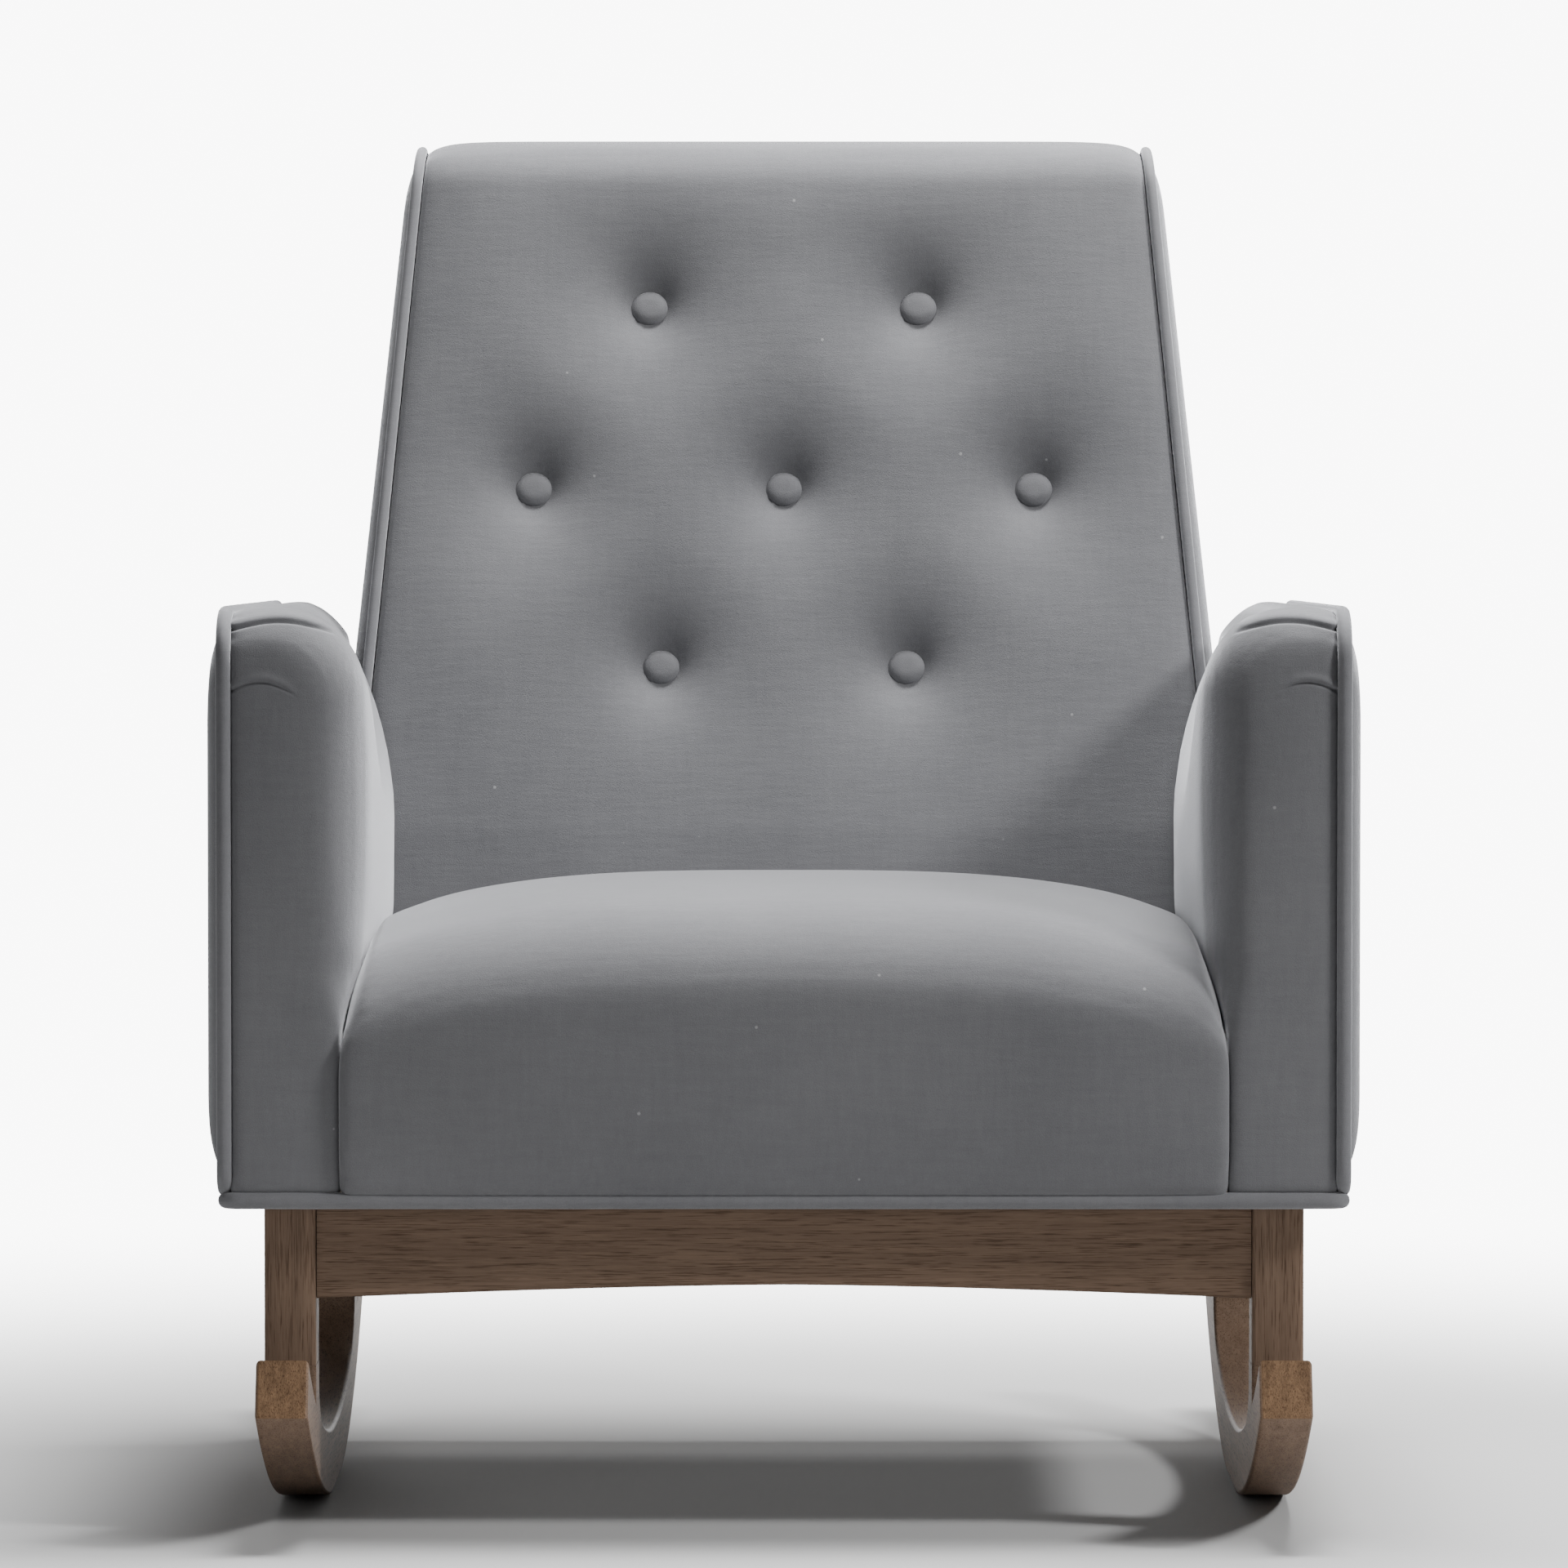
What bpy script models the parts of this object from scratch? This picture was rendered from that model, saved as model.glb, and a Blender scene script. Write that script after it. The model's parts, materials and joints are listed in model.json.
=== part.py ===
"""Upholstered rocking chair on a wooden rocker base.

Metres, +Z up, the sitter faces -Y. The origin is on the floor, in the middle of the chair's plan.
Left is -X and right is +X, as seen by someone who stands in front of the chair.
"""

from math import acos, asin, atan2, cos, hypot, pi, radians, sin

import bmesh
import bpy
from mathutils import Matrix, Vector

SIDES = ((-1, "left"), (1, "right"))
GAP = 0.0004  # air between faces that touch on the real chair

# Rocker base
DEPTH = 0.850  # rocker tip to rocker tail
TIP_Y = -DEPTH / 2
CONTACT_Y = -0.035  # the line where the rockers meet the floor
FRONT_RADIUS = 0.895  # underside of the rocker ahead of that line
REAR_RADIUS = 0.800  # and behind it
ROCKER_WIDTH = 0.034
ROCKER_TIP_THICK = 0.0395
ROCKER_MID_THICK = 0.046
ROCKER_TAIL_THICK = 0.038
FOOT_LIFT = 0.003  # the lowest part of the curve is planed off by this much, so the chair rests level
FRAME_X = 0.322  # middle of each side frame
LEG_WIDTH = 0.0335
LEG_DEPTH = 0.042
FRONT_LEG_Y = -0.317  # front face of the front legs
REAR_LEG_Y = 0.213  # front face of the rear legs
FRONT_JOINT_Z = 0.109  # where each leg is glued to its boss on the rocker
REAR_JOINT_Z = 0.117
FILLET = (0.045, 0.020)  # length along the rocker, rise up the leg
BASE_TOP_Z = 0.215
APRON_THICK = 0.022
APRON_RECESS = 0.004
APRON_MID_Z = 0.1613
APRON_ARCH = 0.0088
BLOCK_SIDE = 0.050
BLOCK_Z = 0.177
BOLT_X = 0.288
BOLT_SHANK_R = 0.003
BOLT_HEAD_R = 0.0055
BOLT_HEAD_H = 0.004
BOLT_HOLE_R = 0.0034
BOLT_BITE = 0.036  # how far a bolt reaches into the seat frame

# Seat frame, springs and cushion
BODY_Z = BASE_TOP_Z + GAP
COVER_Z = 0.2235  # lower edge of the covers
RAIL_TOP_Z = 0.300
FRONT_RAIL_Y = (-0.303, -0.245)
REAR_RAIL_Y = (0.190, 0.2195)
CROSS_RAIL_X = 0.319
SIDE_RAIL_X = (0.3195, 0.3490)
SPRING_COUNT = 5
SPRING_PITCH_X = 0.096
SPRING_HALF_LOOPS = 16
SPRING_SWING = 0.024
SPRING_WIRE_R = 0.0019
SPRING_RISE = 0.022
SEAT_X = 0.2870
SEAT_FRONT_Y = -0.338
SEAT_TOP_Z = 0.4170
SEAT_UNDER_Z = 0.335
SEAT_SHOULDER_Z = 0.349
WELT_R = 0.0053

# Arms
ARM_FRONT_Y = -0.330
ARM_INNER_X = 0.2885
ARM_FULL_X = 0.2800  # the inside swells to here above the seat
ARM_BEHIND_BACK_X = 0.3100
ARM_OUTER_X = 0.3575
ARM_TOP_Z = 0.599
ARM_REAR_TOP_Z = 0.593
ARM_FRONT_RADIUS = 0.034
ARM_REAR_RADIUS = 0.030
ARM_WALL = 0.026
ARM_CROWN = (0.044, 0.052)  # half axes of the rounding on the inner top edge
PANEL_BULGE = 0.0220
PANEL_INSET = 0.0100
PIPING_R = 0.0043

# Back, in its own leaning frame: X across, v rearwards from the front face, u up along the lean
RECLINE = radians(13)
BACK_Y = 0.180  # front face of the back at BACK_Z
BACK_Z = 0.397
BACK_THICK = 0.108
BACK_TOP_U = 0.5480
BACK_HEM_U = -0.062
BACK_WIDTH_AT_SEAT = 0.305
BACK_TAPER = 0.0908  # half-width lost per metre of height
BACK_MAX_X = 0.2935
BACK_ROLL = 0.035
BACK_CROWN = 0.007
FOAM_THICK = 0.040
WRAP_THICK = 0.025
SKIN_V = 0.1020
STILE_V = (0.0435, 0.0880)
STILE_WIDTH = 0.040
STILE_MARGIN = 0.012
WEB_V = (0.0408, 0.0428)
WEB_HEIGHT = 0.050
WEB_U = (0.10, 0.24, 0.38)
SIDE_BULGE = 0.0150
BACK_PIPING_R = 0.0036
BUTTON_R = 0.0125
BUTTON_H = 0.0085
# Each row of buttons: height in world Z, then the X of each button
BUTTON_ROWS = (
    (0.804, (-0.096, 0.096)),
    (0.675, (-0.178, 0.0, 0.178)),
    (0.549, (-0.087, 0.087)),
)

WOOD = ("walnut", (0.105, 0.062, 0.036), 0.42, 0.0)
FRAME_WOOD = ("frame_wood", (0.52, 0.38, 0.22), 0.70, 0.0)
FABRIC = ("velvet", (0.20, 0.20, 0.21), 0.90, 0.0)
LINING = ("lining", (0.02, 0.02, 0.02), 0.95, 0.0)
WEBBING = ("webbing", (0.62, 0.60, 0.55), 0.85, 0.0)
STEEL = ("steel", (0.45, 0.45, 0.46), 0.35, 1.0)


# Helpers ---------------------------------------------------------------------------------------


def clear_scene():
    for obj in list(bpy.data.objects):
        bpy.data.objects.remove(obj, do_unlink=True)


def material(spec):
    name, colour, roughness, metallic = spec
    made = bpy.data.materials.get(name)
    if made is None:
        made = bpy.data.materials.new(name)
        made.use_nodes = True
        shader = made.node_tree.nodes["Principled BSDF"]
        shader.inputs["Base Color"].default_value = (*colour, 1.0)
        shader.inputs["Roughness"].default_value = roughness
        shader.inputs["Metallic"].default_value = metallic
    return made


def add(name, data, spec, matrix=None):
    """Links a mesh or a curve as an object with its material."""
    obj = bpy.data.objects.new(name, data)
    bpy.context.scene.collection.objects.link(obj)
    data.materials.append(material(spec))
    if matrix is not None:
        obj.matrix_world = matrix
    return obj


def mesh_of(name, bm):
    bmesh.ops.recalc_face_normals(bm, faces=bm.faces)
    mesh = bpy.data.meshes.new(name)
    bm.to_mesh(mesh)
    bm.free()
    return mesh


def prism_mesh(name, outline, along, low, high):
    """An outline extruded along one axis (0, 1 or 2). The outline holds the other two coordinates in X, Y, Z order."""
    bm = bmesh.new()

    def vert(point, level):
        co = list(point)
        co.insert(along, level)
        return bm.verts.new(co)

    ends = [[vert(p, level) for p in outline] for level in (low, high)]
    count = len(outline)
    for i in range(count):
        j = (i + 1) % count
        bm.faces.new((ends[0][i], ends[0][j], ends[1][j], ends[1][i]))
    bm.faces.new(ends[0])
    bm.faces.new(ends[1][::-1])
    return mesh_of(name, bm)


def prism(name, outline, along, low, high, spec, matrix=None):
    return add(name, prism_mesh(name, outline, along, low, high), spec, matrix)


def box(name, low, high, spec, matrix=None):
    outline = [(low[1], low[2]), (high[1], low[2]), (high[1], high[2]), (low[1], high[2])]
    return prism(name, outline, 0, low[0], high[0], spec, matrix)


def arc(centre, radii, start, end, steps):
    """Points of an ellipse's arc, angles in degrees from the first axis."""
    points = []
    for i in range(steps + 1):
        a = radians(start + (end - start) * i / steps)
        points.append((centre[0] + radii[0] * cos(a), centre[1] + radii[1] * sin(a)))
    return points


def use_boolean(obj, mesh, operation):
    """Applies a Boolean with a throwaway tool that shares the object's matrix."""
    tool = bpy.data.objects.new("tool", mesh)
    bpy.context.scene.collection.objects.link(tool)
    tool.matrix_world = obj.matrix_world
    modifier = obj.modifiers.new("cut", "BOOLEAN")
    modifier.operation = operation
    modifier.object = tool
    bpy.context.view_layer.update()
    graph = bpy.context.evaluated_depsgraph_get()
    result = bpy.data.meshes.new_from_object(obj.evaluated_get(graph))
    bm = bmesh.new()
    bm.from_mesh(result)
    bmesh.ops.remove_doubles(bm, verts=bm.verts, dist=0.00002)
    bmesh.ops.dissolve_degenerate(bm, edges=bm.edges, dist=0.00002)
    bm.to_mesh(result)
    bm.free()
    obj.modifiers.clear()
    obj.data = result
    bpy.data.objects.remove(tool, do_unlink=True)


def cut_hole(obj, x, y, z_low, z_high, radius, sides=12):
    circle = [
        (x + radius * cos(2 * pi * i / sides), y + radius * sin(2 * pi * i / sides))
        for i in range(sides)
    ]
    use_boolean(obj, prism_mesh("hole", circle, 2, z_low, z_high), "DIFFERENCE")


def tube(name, points, radius, spec, cyclic=False, sides=2, matrix=None):
    curve = bpy.data.curves.new(name, "CURVE")
    curve.dimensions = "3D"
    curve.bevel_depth = radius
    curve.bevel_resolution = sides
    curve.use_fill_caps = not cyclic
    spline = curve.splines.new("POLY")
    spline.points.add(len(points) - 1)
    for point, co in zip(spline.points, points):
        point.co = (*co, 1.0)
    spline.use_cyclic_u = cyclic
    return add(name, curve, spec, matrix)


def outline_normals(outline):
    """The outward normal at each point of a closed outline."""
    count = len(outline)
    area = sum(
        outline[i][0] * outline[(i + 1) % count][1] - outline[(i + 1) % count][0] * outline[i][1]
        for i in range(count)
    )
    turn = 1 if area > 0 else -1
    normals = []
    for i in range(count):
        before, here, after = outline[i - 1], outline[i], outline[(i + 1) % count]
        edges = []
        for a, b in ((before, here), (here, after)):
            length = hypot(b[0] - a[0], b[1] - a[1])
            edges.append((turn * (b[1] - a[1]) / length, -turn * (b[0] - a[0]) / length))
        nx, ny = edges[0][0] + edges[1][0], edges[0][1] + edges[1][1]
        scale = 2 / (nx * nx + ny * ny)
        normals.append((nx * scale, ny * scale))
    return normals


def inset(outline, distance):
    moved = zip(outline, outline_normals(outline))
    return [(p[0] - n[0] * distance, p[1] - n[1] * distance) for p, n in moved]


def pillow(name, outline, base, bulge, spec, matrix=None):
    """A puffed panel on the +X or -X side: a flat back on base(point), and a front that swells by bulge."""
    layers = ((0.0, 0.0), (0.0, 0.30), (0.010, 0.72), (0.030, 1.0))
    bm = bmesh.new()
    rings = []
    for step, height in layers:
        ring = shrink(outline, step)
        rings.append([bm.verts.new((base(p) + bulge * height, p[0], p[1])) for p in ring])
    count = len(outline)
    for lower, upper in zip(rings, rings[1:]):
        for i in range(count):
            j = (i + 1) % count
            bm.faces.new((lower[i], lower[j], upper[j], upper[i]))
    bmesh.ops.triangle_fill(bm, use_beauty=True, use_dissolve=False, edges=ring_edges(bm, rings[0]))
    bmesh.ops.triangle_fill(bm, use_beauty=True, use_dissolve=False, edges=ring_edges(bm, rings[-1]))
    bmesh.ops.triangulate(bm, faces=bm.faces)
    return add(name, mesh_of(name, bm), spec, matrix)


def shrink(outline, distance):
    """The outline scaled towards its middle, so that its sides move in by this distance."""
    lows = [min(p[k] for p in outline) for k in (0, 1)]
    highs = [max(p[k] for p in outline) for k in (0, 1)]
    middle = [(a + b) / 2 for a, b in zip(lows, highs)]
    scale = [1 - 2 * distance / (b - a) for a, b in zip(lows, highs)]
    return [tuple(middle[k] + (p[k] - middle[k]) * scale[k] for k in (0, 1)) for p in outline]


def ring_edges(bm, ring):
    return [bm.edges.get((ring[i - 1], ring[i])) for i in range(len(ring))]


# Rocker base -----------------------------------------------------------------------------------

FRONT_ANGLE = -asin((CONTACT_Y - TIP_Y) / FRONT_RADIUS)
TAIL_ANGLE = asin((-TIP_Y - CONTACT_Y) / REAR_RADIUS)
FRONT_FACETS = 9
TAIL_FACETS = 10


def rocker_angles():
    """Angles from straight down, with one longer facet in the middle for the foot."""
    foot_front = -acos(1 - FOOT_LIFT / FRONT_RADIUS)
    foot_rear = acos(1 - FOOT_LIFT / REAR_RADIUS)
    front = [
        FRONT_ANGLE + (foot_front - FRONT_ANGLE) * i / FRONT_FACETS
        for i in range(FRONT_FACETS + 1)
    ]
    tail = [foot_rear + (TAIL_ANGLE - foot_rear) * i / TAIL_FACETS for i in range(TAIL_FACETS + 1)]
    return front + tail


def rocker_thickness(angle):
    """Deepest in the middle, thinner at the tip and the tail."""
    if angle < 0:
        return ROCKER_MID_THICK + (ROCKER_TIP_THICK - ROCKER_MID_THICK) * angle / FRONT_ANGLE
    return ROCKER_MID_THICK + (ROCKER_TAIL_THICK - ROCKER_MID_THICK) * angle / TAIL_ANGLE


def rocker_point(angle, offset=0.0):
    """A point at this angle, offset towards the arc's centre. The foot lies on the floor."""
    radius = FRONT_RADIUS if angle < 0 else REAR_RADIUS
    reach = radius - offset
    return CONTACT_Y + reach * sin(angle), radius - FOOT_LIFT - reach * cos(angle)


def rocker_top():
    return [rocker_point(a, rocker_thickness(a)) for a in rocker_angles()]


def top_height(y):
    """Height of the rocker's upper edge at this Y."""
    points = rocker_top()
    for a, b in zip(points, points[1:]):
        if a[0] <= y <= b[0]:
            return a[1] + (b[1] - a[1]) * (y - a[0]) / (b[0] - a[0])
    return points[-1][1]


def rocker_outline():
    """Underside from tip to tail, then the upper edge back with a boss under each leg."""
    under = [rocker_point(a) for a in rocker_angles()]
    top = rocker_top()
    front_low, front_high = FRONT_LEG_Y, FRONT_LEG_Y + LEG_DEPTH
    rear_low, rear_high = REAR_LEG_Y, REAR_LEG_Y + LEG_DEPTH
    reach = FILLET[0] + 0.004
    tail = [p for p in top if p[0] > rear_high + 0.008]
    middle = [p for p in top if front_high + reach < p[0] < rear_low - reach]
    tip = [p for p in top if p[0] < front_low - 0.008]
    upper = (
        tip
        + [(front_low, top_height(front_low)), (front_low, FRONT_JOINT_Z), (front_high, FRONT_JOINT_Z)]
        + boss_fillet(front_high, 1)
        + middle
        + boss_fillet(rear_low, -1)[::-1]
        + [(rear_low, REAR_JOINT_Z), (rear_high, REAR_JOINT_Z), (rear_high, top_height(rear_high))]
        + tail
    )
    return under + upper[::-1]


def boss_fillet(y, direction, steps=5):
    """A hollow curve from a leg's face down to the rocker's upper edge."""
    length, rise = FILLET
    points = []
    for i in range(steps + 1):
        share = cos(pi / 2 * i / steps)
        at = y + direction * length * (1 - share)
        points.append((at, top_height(at) + rise * (1 - sin(pi / 2 * i / steps))))
    return points


def make_rockers():
    outline = rocker_outline()
    for side, word in SIDES:
        x = side * FRAME_X
        prism(f"rocker_{word}", outline, 0, x - ROCKER_WIDTH / 2, x + ROCKER_WIDTH / 2, WOOD)


def make_legs():
    places = (("front", FRONT_LEG_Y, FRONT_JOINT_Z), ("rear", REAR_LEG_Y, REAR_JOINT_Z))
    for side, word in SIDES:
        x = side * FRAME_X
        for place, y, joint_z in places:
            low = (x - LEG_WIDTH / 2, y, joint_z + GAP)
            high = (x + LEG_WIDTH / 2, y + LEG_DEPTH, BASE_TOP_Z)
            box(f"{place}_leg_{word}", low, high, WOOD)


def make_aprons():
    """Arched boards between the legs at front and rear, and straight ones at the sides."""
    half = FRAME_X - LEG_WIDTH / 2 - GAP
    steps = 12
    arch = []
    for i in range(steps + 1):
        x = half * (2 * i / steps - 1)
        arch.append((x, APRON_MID_Z - APRON_ARCH * abs(x / half) ** 1.5))
    outline = arch + [(half, BASE_TOP_Z), (-half, BASE_TOP_Z)]
    front = FRONT_LEG_Y + APRON_RECESS
    rear = REAR_LEG_Y + LEG_DEPTH - APRON_RECESS
    prism("front_apron", outline, 1, front, front + APRON_THICK, WOOD)
    prism("rear_apron", outline, 1, rear - APRON_THICK, rear, WOOD)
    for side, word in SIDES:
        x = side * FRAME_X
        low = (x - APRON_THICK / 2, FRONT_LEG_Y + LEG_DEPTH + GAP, APRON_MID_Z - APRON_ARCH)
        high = (x + APRON_THICK / 2, REAR_LEG_Y - GAP, BASE_TOP_Z)
        box(f"side_rail_{word}", low, high, WOOD)


def block_corners():
    """Place, apron face and direction into the base for each pair of corner blocks."""
    front = FRONT_LEG_Y + APRON_RECESS + APRON_THICK + GAP
    rear = REAR_LEG_Y + LEG_DEPTH - APRON_RECESS - APRON_THICK - GAP
    return (("front", front, 1), ("rear", rear, -1))


def bolt_y(place):
    return -0.272 if place == "front" else 0.203


def make_corner_blocks():
    x_face = FRAME_X - LEG_WIDTH / 2 - GAP
    for side, word in SIDES:
        for place, y, into in block_corners():
            corner = [
                (side * x_face, y),
                (side * x_face, y + into * BLOCK_SIDE),
                (side * (x_face - 0.014), y + into * BLOCK_SIDE),
                (side * (x_face - BLOCK_SIDE), y + into * 0.014),
                (side * (x_face - BLOCK_SIDE), y),
            ]
            block = prism(f"corner_block_{place}_{word}", corner, 2, BLOCK_Z, BASE_TOP_Z, FRAME_WOOD)
            cut_hole(block, side * BOLT_X, bolt_y(place), BLOCK_Z - 0.01, BODY_Z + 0.01, BOLT_HOLE_R)


def make_bolts():
    """Bolts that come up through the corner blocks into the seat frame."""
    head_top = BLOCK_Z - GAP
    tip = BODY_Z + BOLT_BITE
    profile = (
        (BOLT_HEAD_R * 0.8, head_top - BOLT_HEAD_H),
        (BOLT_HEAD_R, head_top - BOLT_HEAD_H * 0.7),
        (BOLT_HEAD_R, head_top),
        (BOLT_SHANK_R, head_top),
        (BOLT_SHANK_R, tip - 0.002),
        (BOLT_SHANK_R * 0.6, tip),
    )
    sides = 12
    bm = bmesh.new()
    rings = []
    for radius, z in profile:
        ring = []
        for i in range(sides):
            a = 2 * pi * i / sides
            ring.append(bm.verts.new((radius * cos(a), radius * sin(a), z)))
        rings.append(ring)
    for lower, upper in zip(rings, rings[1:]):
        for i in range(sides):
            j = (i + 1) % sides
            bm.faces.new((lower[i], lower[j], upper[j], upper[i]))
    bm.faces.new(rings[0])
    bm.faces.new(rings[-1])
    mesh = mesh_of("bolt", bm)
    for side, word in SIDES:
        for place, _, _ in block_corners():
            where = Matrix.Translation((side * BOLT_X, bolt_y(place), 0))
            add(f"base_bolt_{place}_{word}", mesh, STEEL, where)


# Seat ------------------------------------------------------------------------------------------


def make_seat_frame():
    for place, (y_low, y_high) in (("front", FRONT_RAIL_Y), ("rear", REAR_RAIL_Y)):
        low = (-CROSS_RAIL_X, y_low, BODY_Z)
        high = (CROSS_RAIL_X, y_high, RAIL_TOP_Z)
        rail = box(f"seat_{place}_rail", low, high, FRAME_WOOD)
        for side, _ in SIDES:
            top = BODY_Z + BOLT_BITE + 0.004
            cut_hole(rail, side * BOLT_X, bolt_y(place), BODY_Z - 0.01, top, BOLT_HOLE_R)
    for side, word in SIDES:
        ends = sorted(side * x for x in SIDE_RAIL_X)
        low = (ends[0], FRONT_RAIL_Y[0], BODY_Z)
        high = (ends[1], REAR_RAIL_Y[1], RAIL_TOP_Z)
        box(f"seat_side_rail_{word}", low, high, FRAME_WOOD)


def make_springs():
    """Sinuous springs that arch from the front rail to the rear rail."""
    start, end = FRONT_RAIL_Y[0] + 0.012, REAR_RAIL_Y[1] - 0.020
    per_loop = 4
    count = SPRING_HALF_LOOPS * per_loop
    for number in range(SPRING_COUNT):
        centre = (number - (SPRING_COUNT - 1) / 2) * SPRING_PITCH_X
        points = []
        for i in range(count + 1):
            share = i / count
            swing = max(-1.0, min(1.0, 1.25 * sin(pi * i / per_loop)))
            z = RAIL_TOP_Z + SPRING_WIRE_R + GAP + SPRING_RISE * sin(pi * share)
            points.append((centre + SPRING_SWING * swing, start + (end - start) * share, z))
        tube(f"seat_spring_{number + 1}", points, SPRING_WIRE_R, STEEL, sides=1)


def seat_profile():
    """Side view of the cushion: a top slab with a front flap that hangs over the front rail."""
    flap_in = FRONT_RAIL_Y[0] - 0.001
    roll = arc((SEAT_FRONT_Y + 0.075, 0.335), (0.075, SEAT_TOP_Z - 0.335), 180, 90, 6)
    rear_top = (back_point(-0.003, 0.005)[0], 0.401)
    rear_low = (back_point(-0.003, -0.055)[0], SEAT_UNDER_Z)
    return (
        [(SEAT_FRONT_Y + 0.004, COVER_Z)]
        + roll
        + [(-0.10, SEAT_TOP_Z), (0.05, 0.412), rear_top, rear_low]
        + [(FRONT_RAIL_Y[1] + 0.010, SEAT_UNDER_Z), (flap_in, RAIL_TOP_Z + 0.012), (flap_in, COVER_Z)]
    )


def make_seat_cushion():
    seat = prism("seat_cushion", seat_profile(), 0, -SEAT_X, SEAT_X, FABRIC)
    crown = arc((0, SEAT_SHOULDER_Z), (SEAT_X + 0.002, SEAT_TOP_Z - SEAT_SHOULDER_Z + 0.002), 0, 180, 14)
    front_view = [(SEAT_X + 0.002, 0.20)] + crown + [(-SEAT_X - 0.002, 0.20)]
    use_boolean(seat, prism_mesh("crown", front_view, 1, -0.6, 0.6), "INTERSECT")


def make_dust_cover():
    inner_x = FRAME_X - LEG_WIDTH / 2 - BLOCK_SIDE - 0.002
    low = (-inner_x, block_corners()[0][1] + 0.002, BASE_TOP_Z - 0.0016)
    high = (inner_x, block_corners()[1][1] - 0.002, BASE_TOP_Z - 0.0004)
    box("dust_cover", low, high, LINING)


def make_front_welt():
    """The thick welt along the lower front edge, with its ends turned back round the corners."""
    half = ARM_OUTER_X + 0.004
    y = ARM_FRONT_Y + 0.004
    z = COVER_Z - WELT_R - GAP
    right = [(half - 0.012 + 0.010 * sin(radians(a)), y + 0.010 * (1 - cos(radians(a))), z) for a in (0, 30, 60, 90)]
    left = [(-x, depth, height) for x, depth, height in right[::-1]]
    tube("front_welt", left + right, WELT_R, FABRIC)


# Arms ------------------------------------------------------------------------------------------


def back_point(v, u):
    """World (Y, Z) of a point of the leaning back."""
    return (
        BACK_Y + u * sin(RECLINE) + v * cos(RECLINE),
        BACK_Z + u * cos(RECLINE) - v * sin(RECLINE),
    )


def arm_rear_y(z):
    base_y, base_z = back_point(BACK_THICK - 0.004, 0)
    return base_y + (z - base_z) * sin(RECLINE) / cos(RECLINE)


def arm_outline():
    """Side view of an arm: upright front, level top, rear edge along the lean of the back."""
    front = arc(
        (ARM_FRONT_Y + ARM_FRONT_RADIUS, ARM_TOP_Z - ARM_FRONT_RADIUS),
        (ARM_FRONT_RADIUS, ARM_FRONT_RADIUS),
        180,
        90,
        5,
    )
    corner_y = arm_rear_y(ARM_REAR_TOP_Z - ARM_REAR_RADIUS)
    rear = arc(
        (corner_y - ARM_REAR_RADIUS, ARM_REAR_TOP_Z - ARM_REAR_RADIUS),
        (ARM_REAR_RADIUS, ARM_REAR_RADIUS),
        90,
        0,
        4,
    )
    return [(ARM_FRONT_Y, COVER_Z)] + front + rear + [(arm_rear_y(COVER_Z), COVER_Z)]


def make_arm_pads():
    """Foam and cover over the front, top, inside and rear of each arm. The frame stands in its pocket."""
    for side, word in SIDES:
        xs = sorted((side * (ARM_FULL_X - 0.002), side * ARM_OUTER_X))
        pad = prism(f"arm_pad_{word}", arm_outline(), 0, *xs, FABRIC)
        crown = arc(
            (ARM_INNER_X + ARM_CROWN[0], ARM_TOP_Z + 0.001 - ARM_CROWN[1]), ARM_CROWN, 180, 90, 6
        )
        inside = [(ARM_INNER_X, 0.20), (ARM_INNER_X, 0.375), (ARM_FULL_X, 0.43), (ARM_FULL_X, 0.49)]
        section = inside + crown + [(0.37, ARM_TOP_Z + 0.001), (0.37, 0.20)]
        section = [(side * x, z) for x, z in section]
        use_boolean(pad, prism_mesh("section", section, 1, -0.6, 0.6), "INTERSECT")
        wall_y = ARM_FRONT_Y + ARM_WALL
        rear_foot = (arm_rear_y(0.20) - ARM_WALL, 0.20)
        rear_head_z = ARM_TOP_Z - ARM_WALL - 0.002
        rear_head = (arm_rear_y(rear_head_z) - ARM_WALL, rear_head_z)
        pocket = [(wall_y, 0.20), rear_foot, rear_head, (wall_y, rear_head_z)]
        xs = sorted((side * (CROSS_RAIL_X - 0.0005), side * 0.40))
        use_boolean(pad, prism_mesh("pocket", pocket, 0, *xs), "DIFFERENCE")
        below = [(wall_y, 0.19), (arm_rear_y(0.19) - ARM_WALL, 0.19)]
        below += [(arm_rear_y(0.313) - ARM_WALL, 0.313), (wall_y, 0.313)]
        xs = sorted((side * (ARM_FULL_X - 0.01), side * (CROSS_RAIL_X + 0.001)))
        use_boolean(pad, prism_mesh("below", below, 0, *xs), "DIFFERENCE")
        beside = [back_point(-0.002, -0.25), back_point(0.30, -0.25)]
        beside += [back_point(0.30, 0.30), back_point(-0.002, 0.30)]
        xs = sorted((side * (ARM_FULL_X - 0.01), side * ARM_BEHIND_BACK_X))
        use_boolean(pad, prism_mesh("beside", beside, 0, *xs), "DIFFERENCE")


def make_arm_frames():
    """A front post and a top rail inside each arm."""
    for side, word in SIDES:
        xs = sorted(side * x for x in (SIDE_RAIL_X[0] + 0.0005, SIDE_RAIL_X[1]))
        post_y = (FRONT_RAIL_Y[0], FRONT_RAIL_Y[0] + 0.042)
        rail_top = ARM_TOP_Z - ARM_WALL - 0.003
        low = (xs[0], post_y[0], RAIL_TOP_Z + GAP)
        box(f"arm_post_{word}", low, (xs[1], post_y[1], rail_top), FRAME_WOOD)
        low = (xs[0], post_y[1] + GAP, rail_top - 0.038)
        high = (xs[1], arm_rear_y(rail_top - 0.038) - ARM_WALL - 0.002, rail_top)
        box(f"arm_top_rail_{word}", low, high, FRAME_WOOD)


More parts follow.
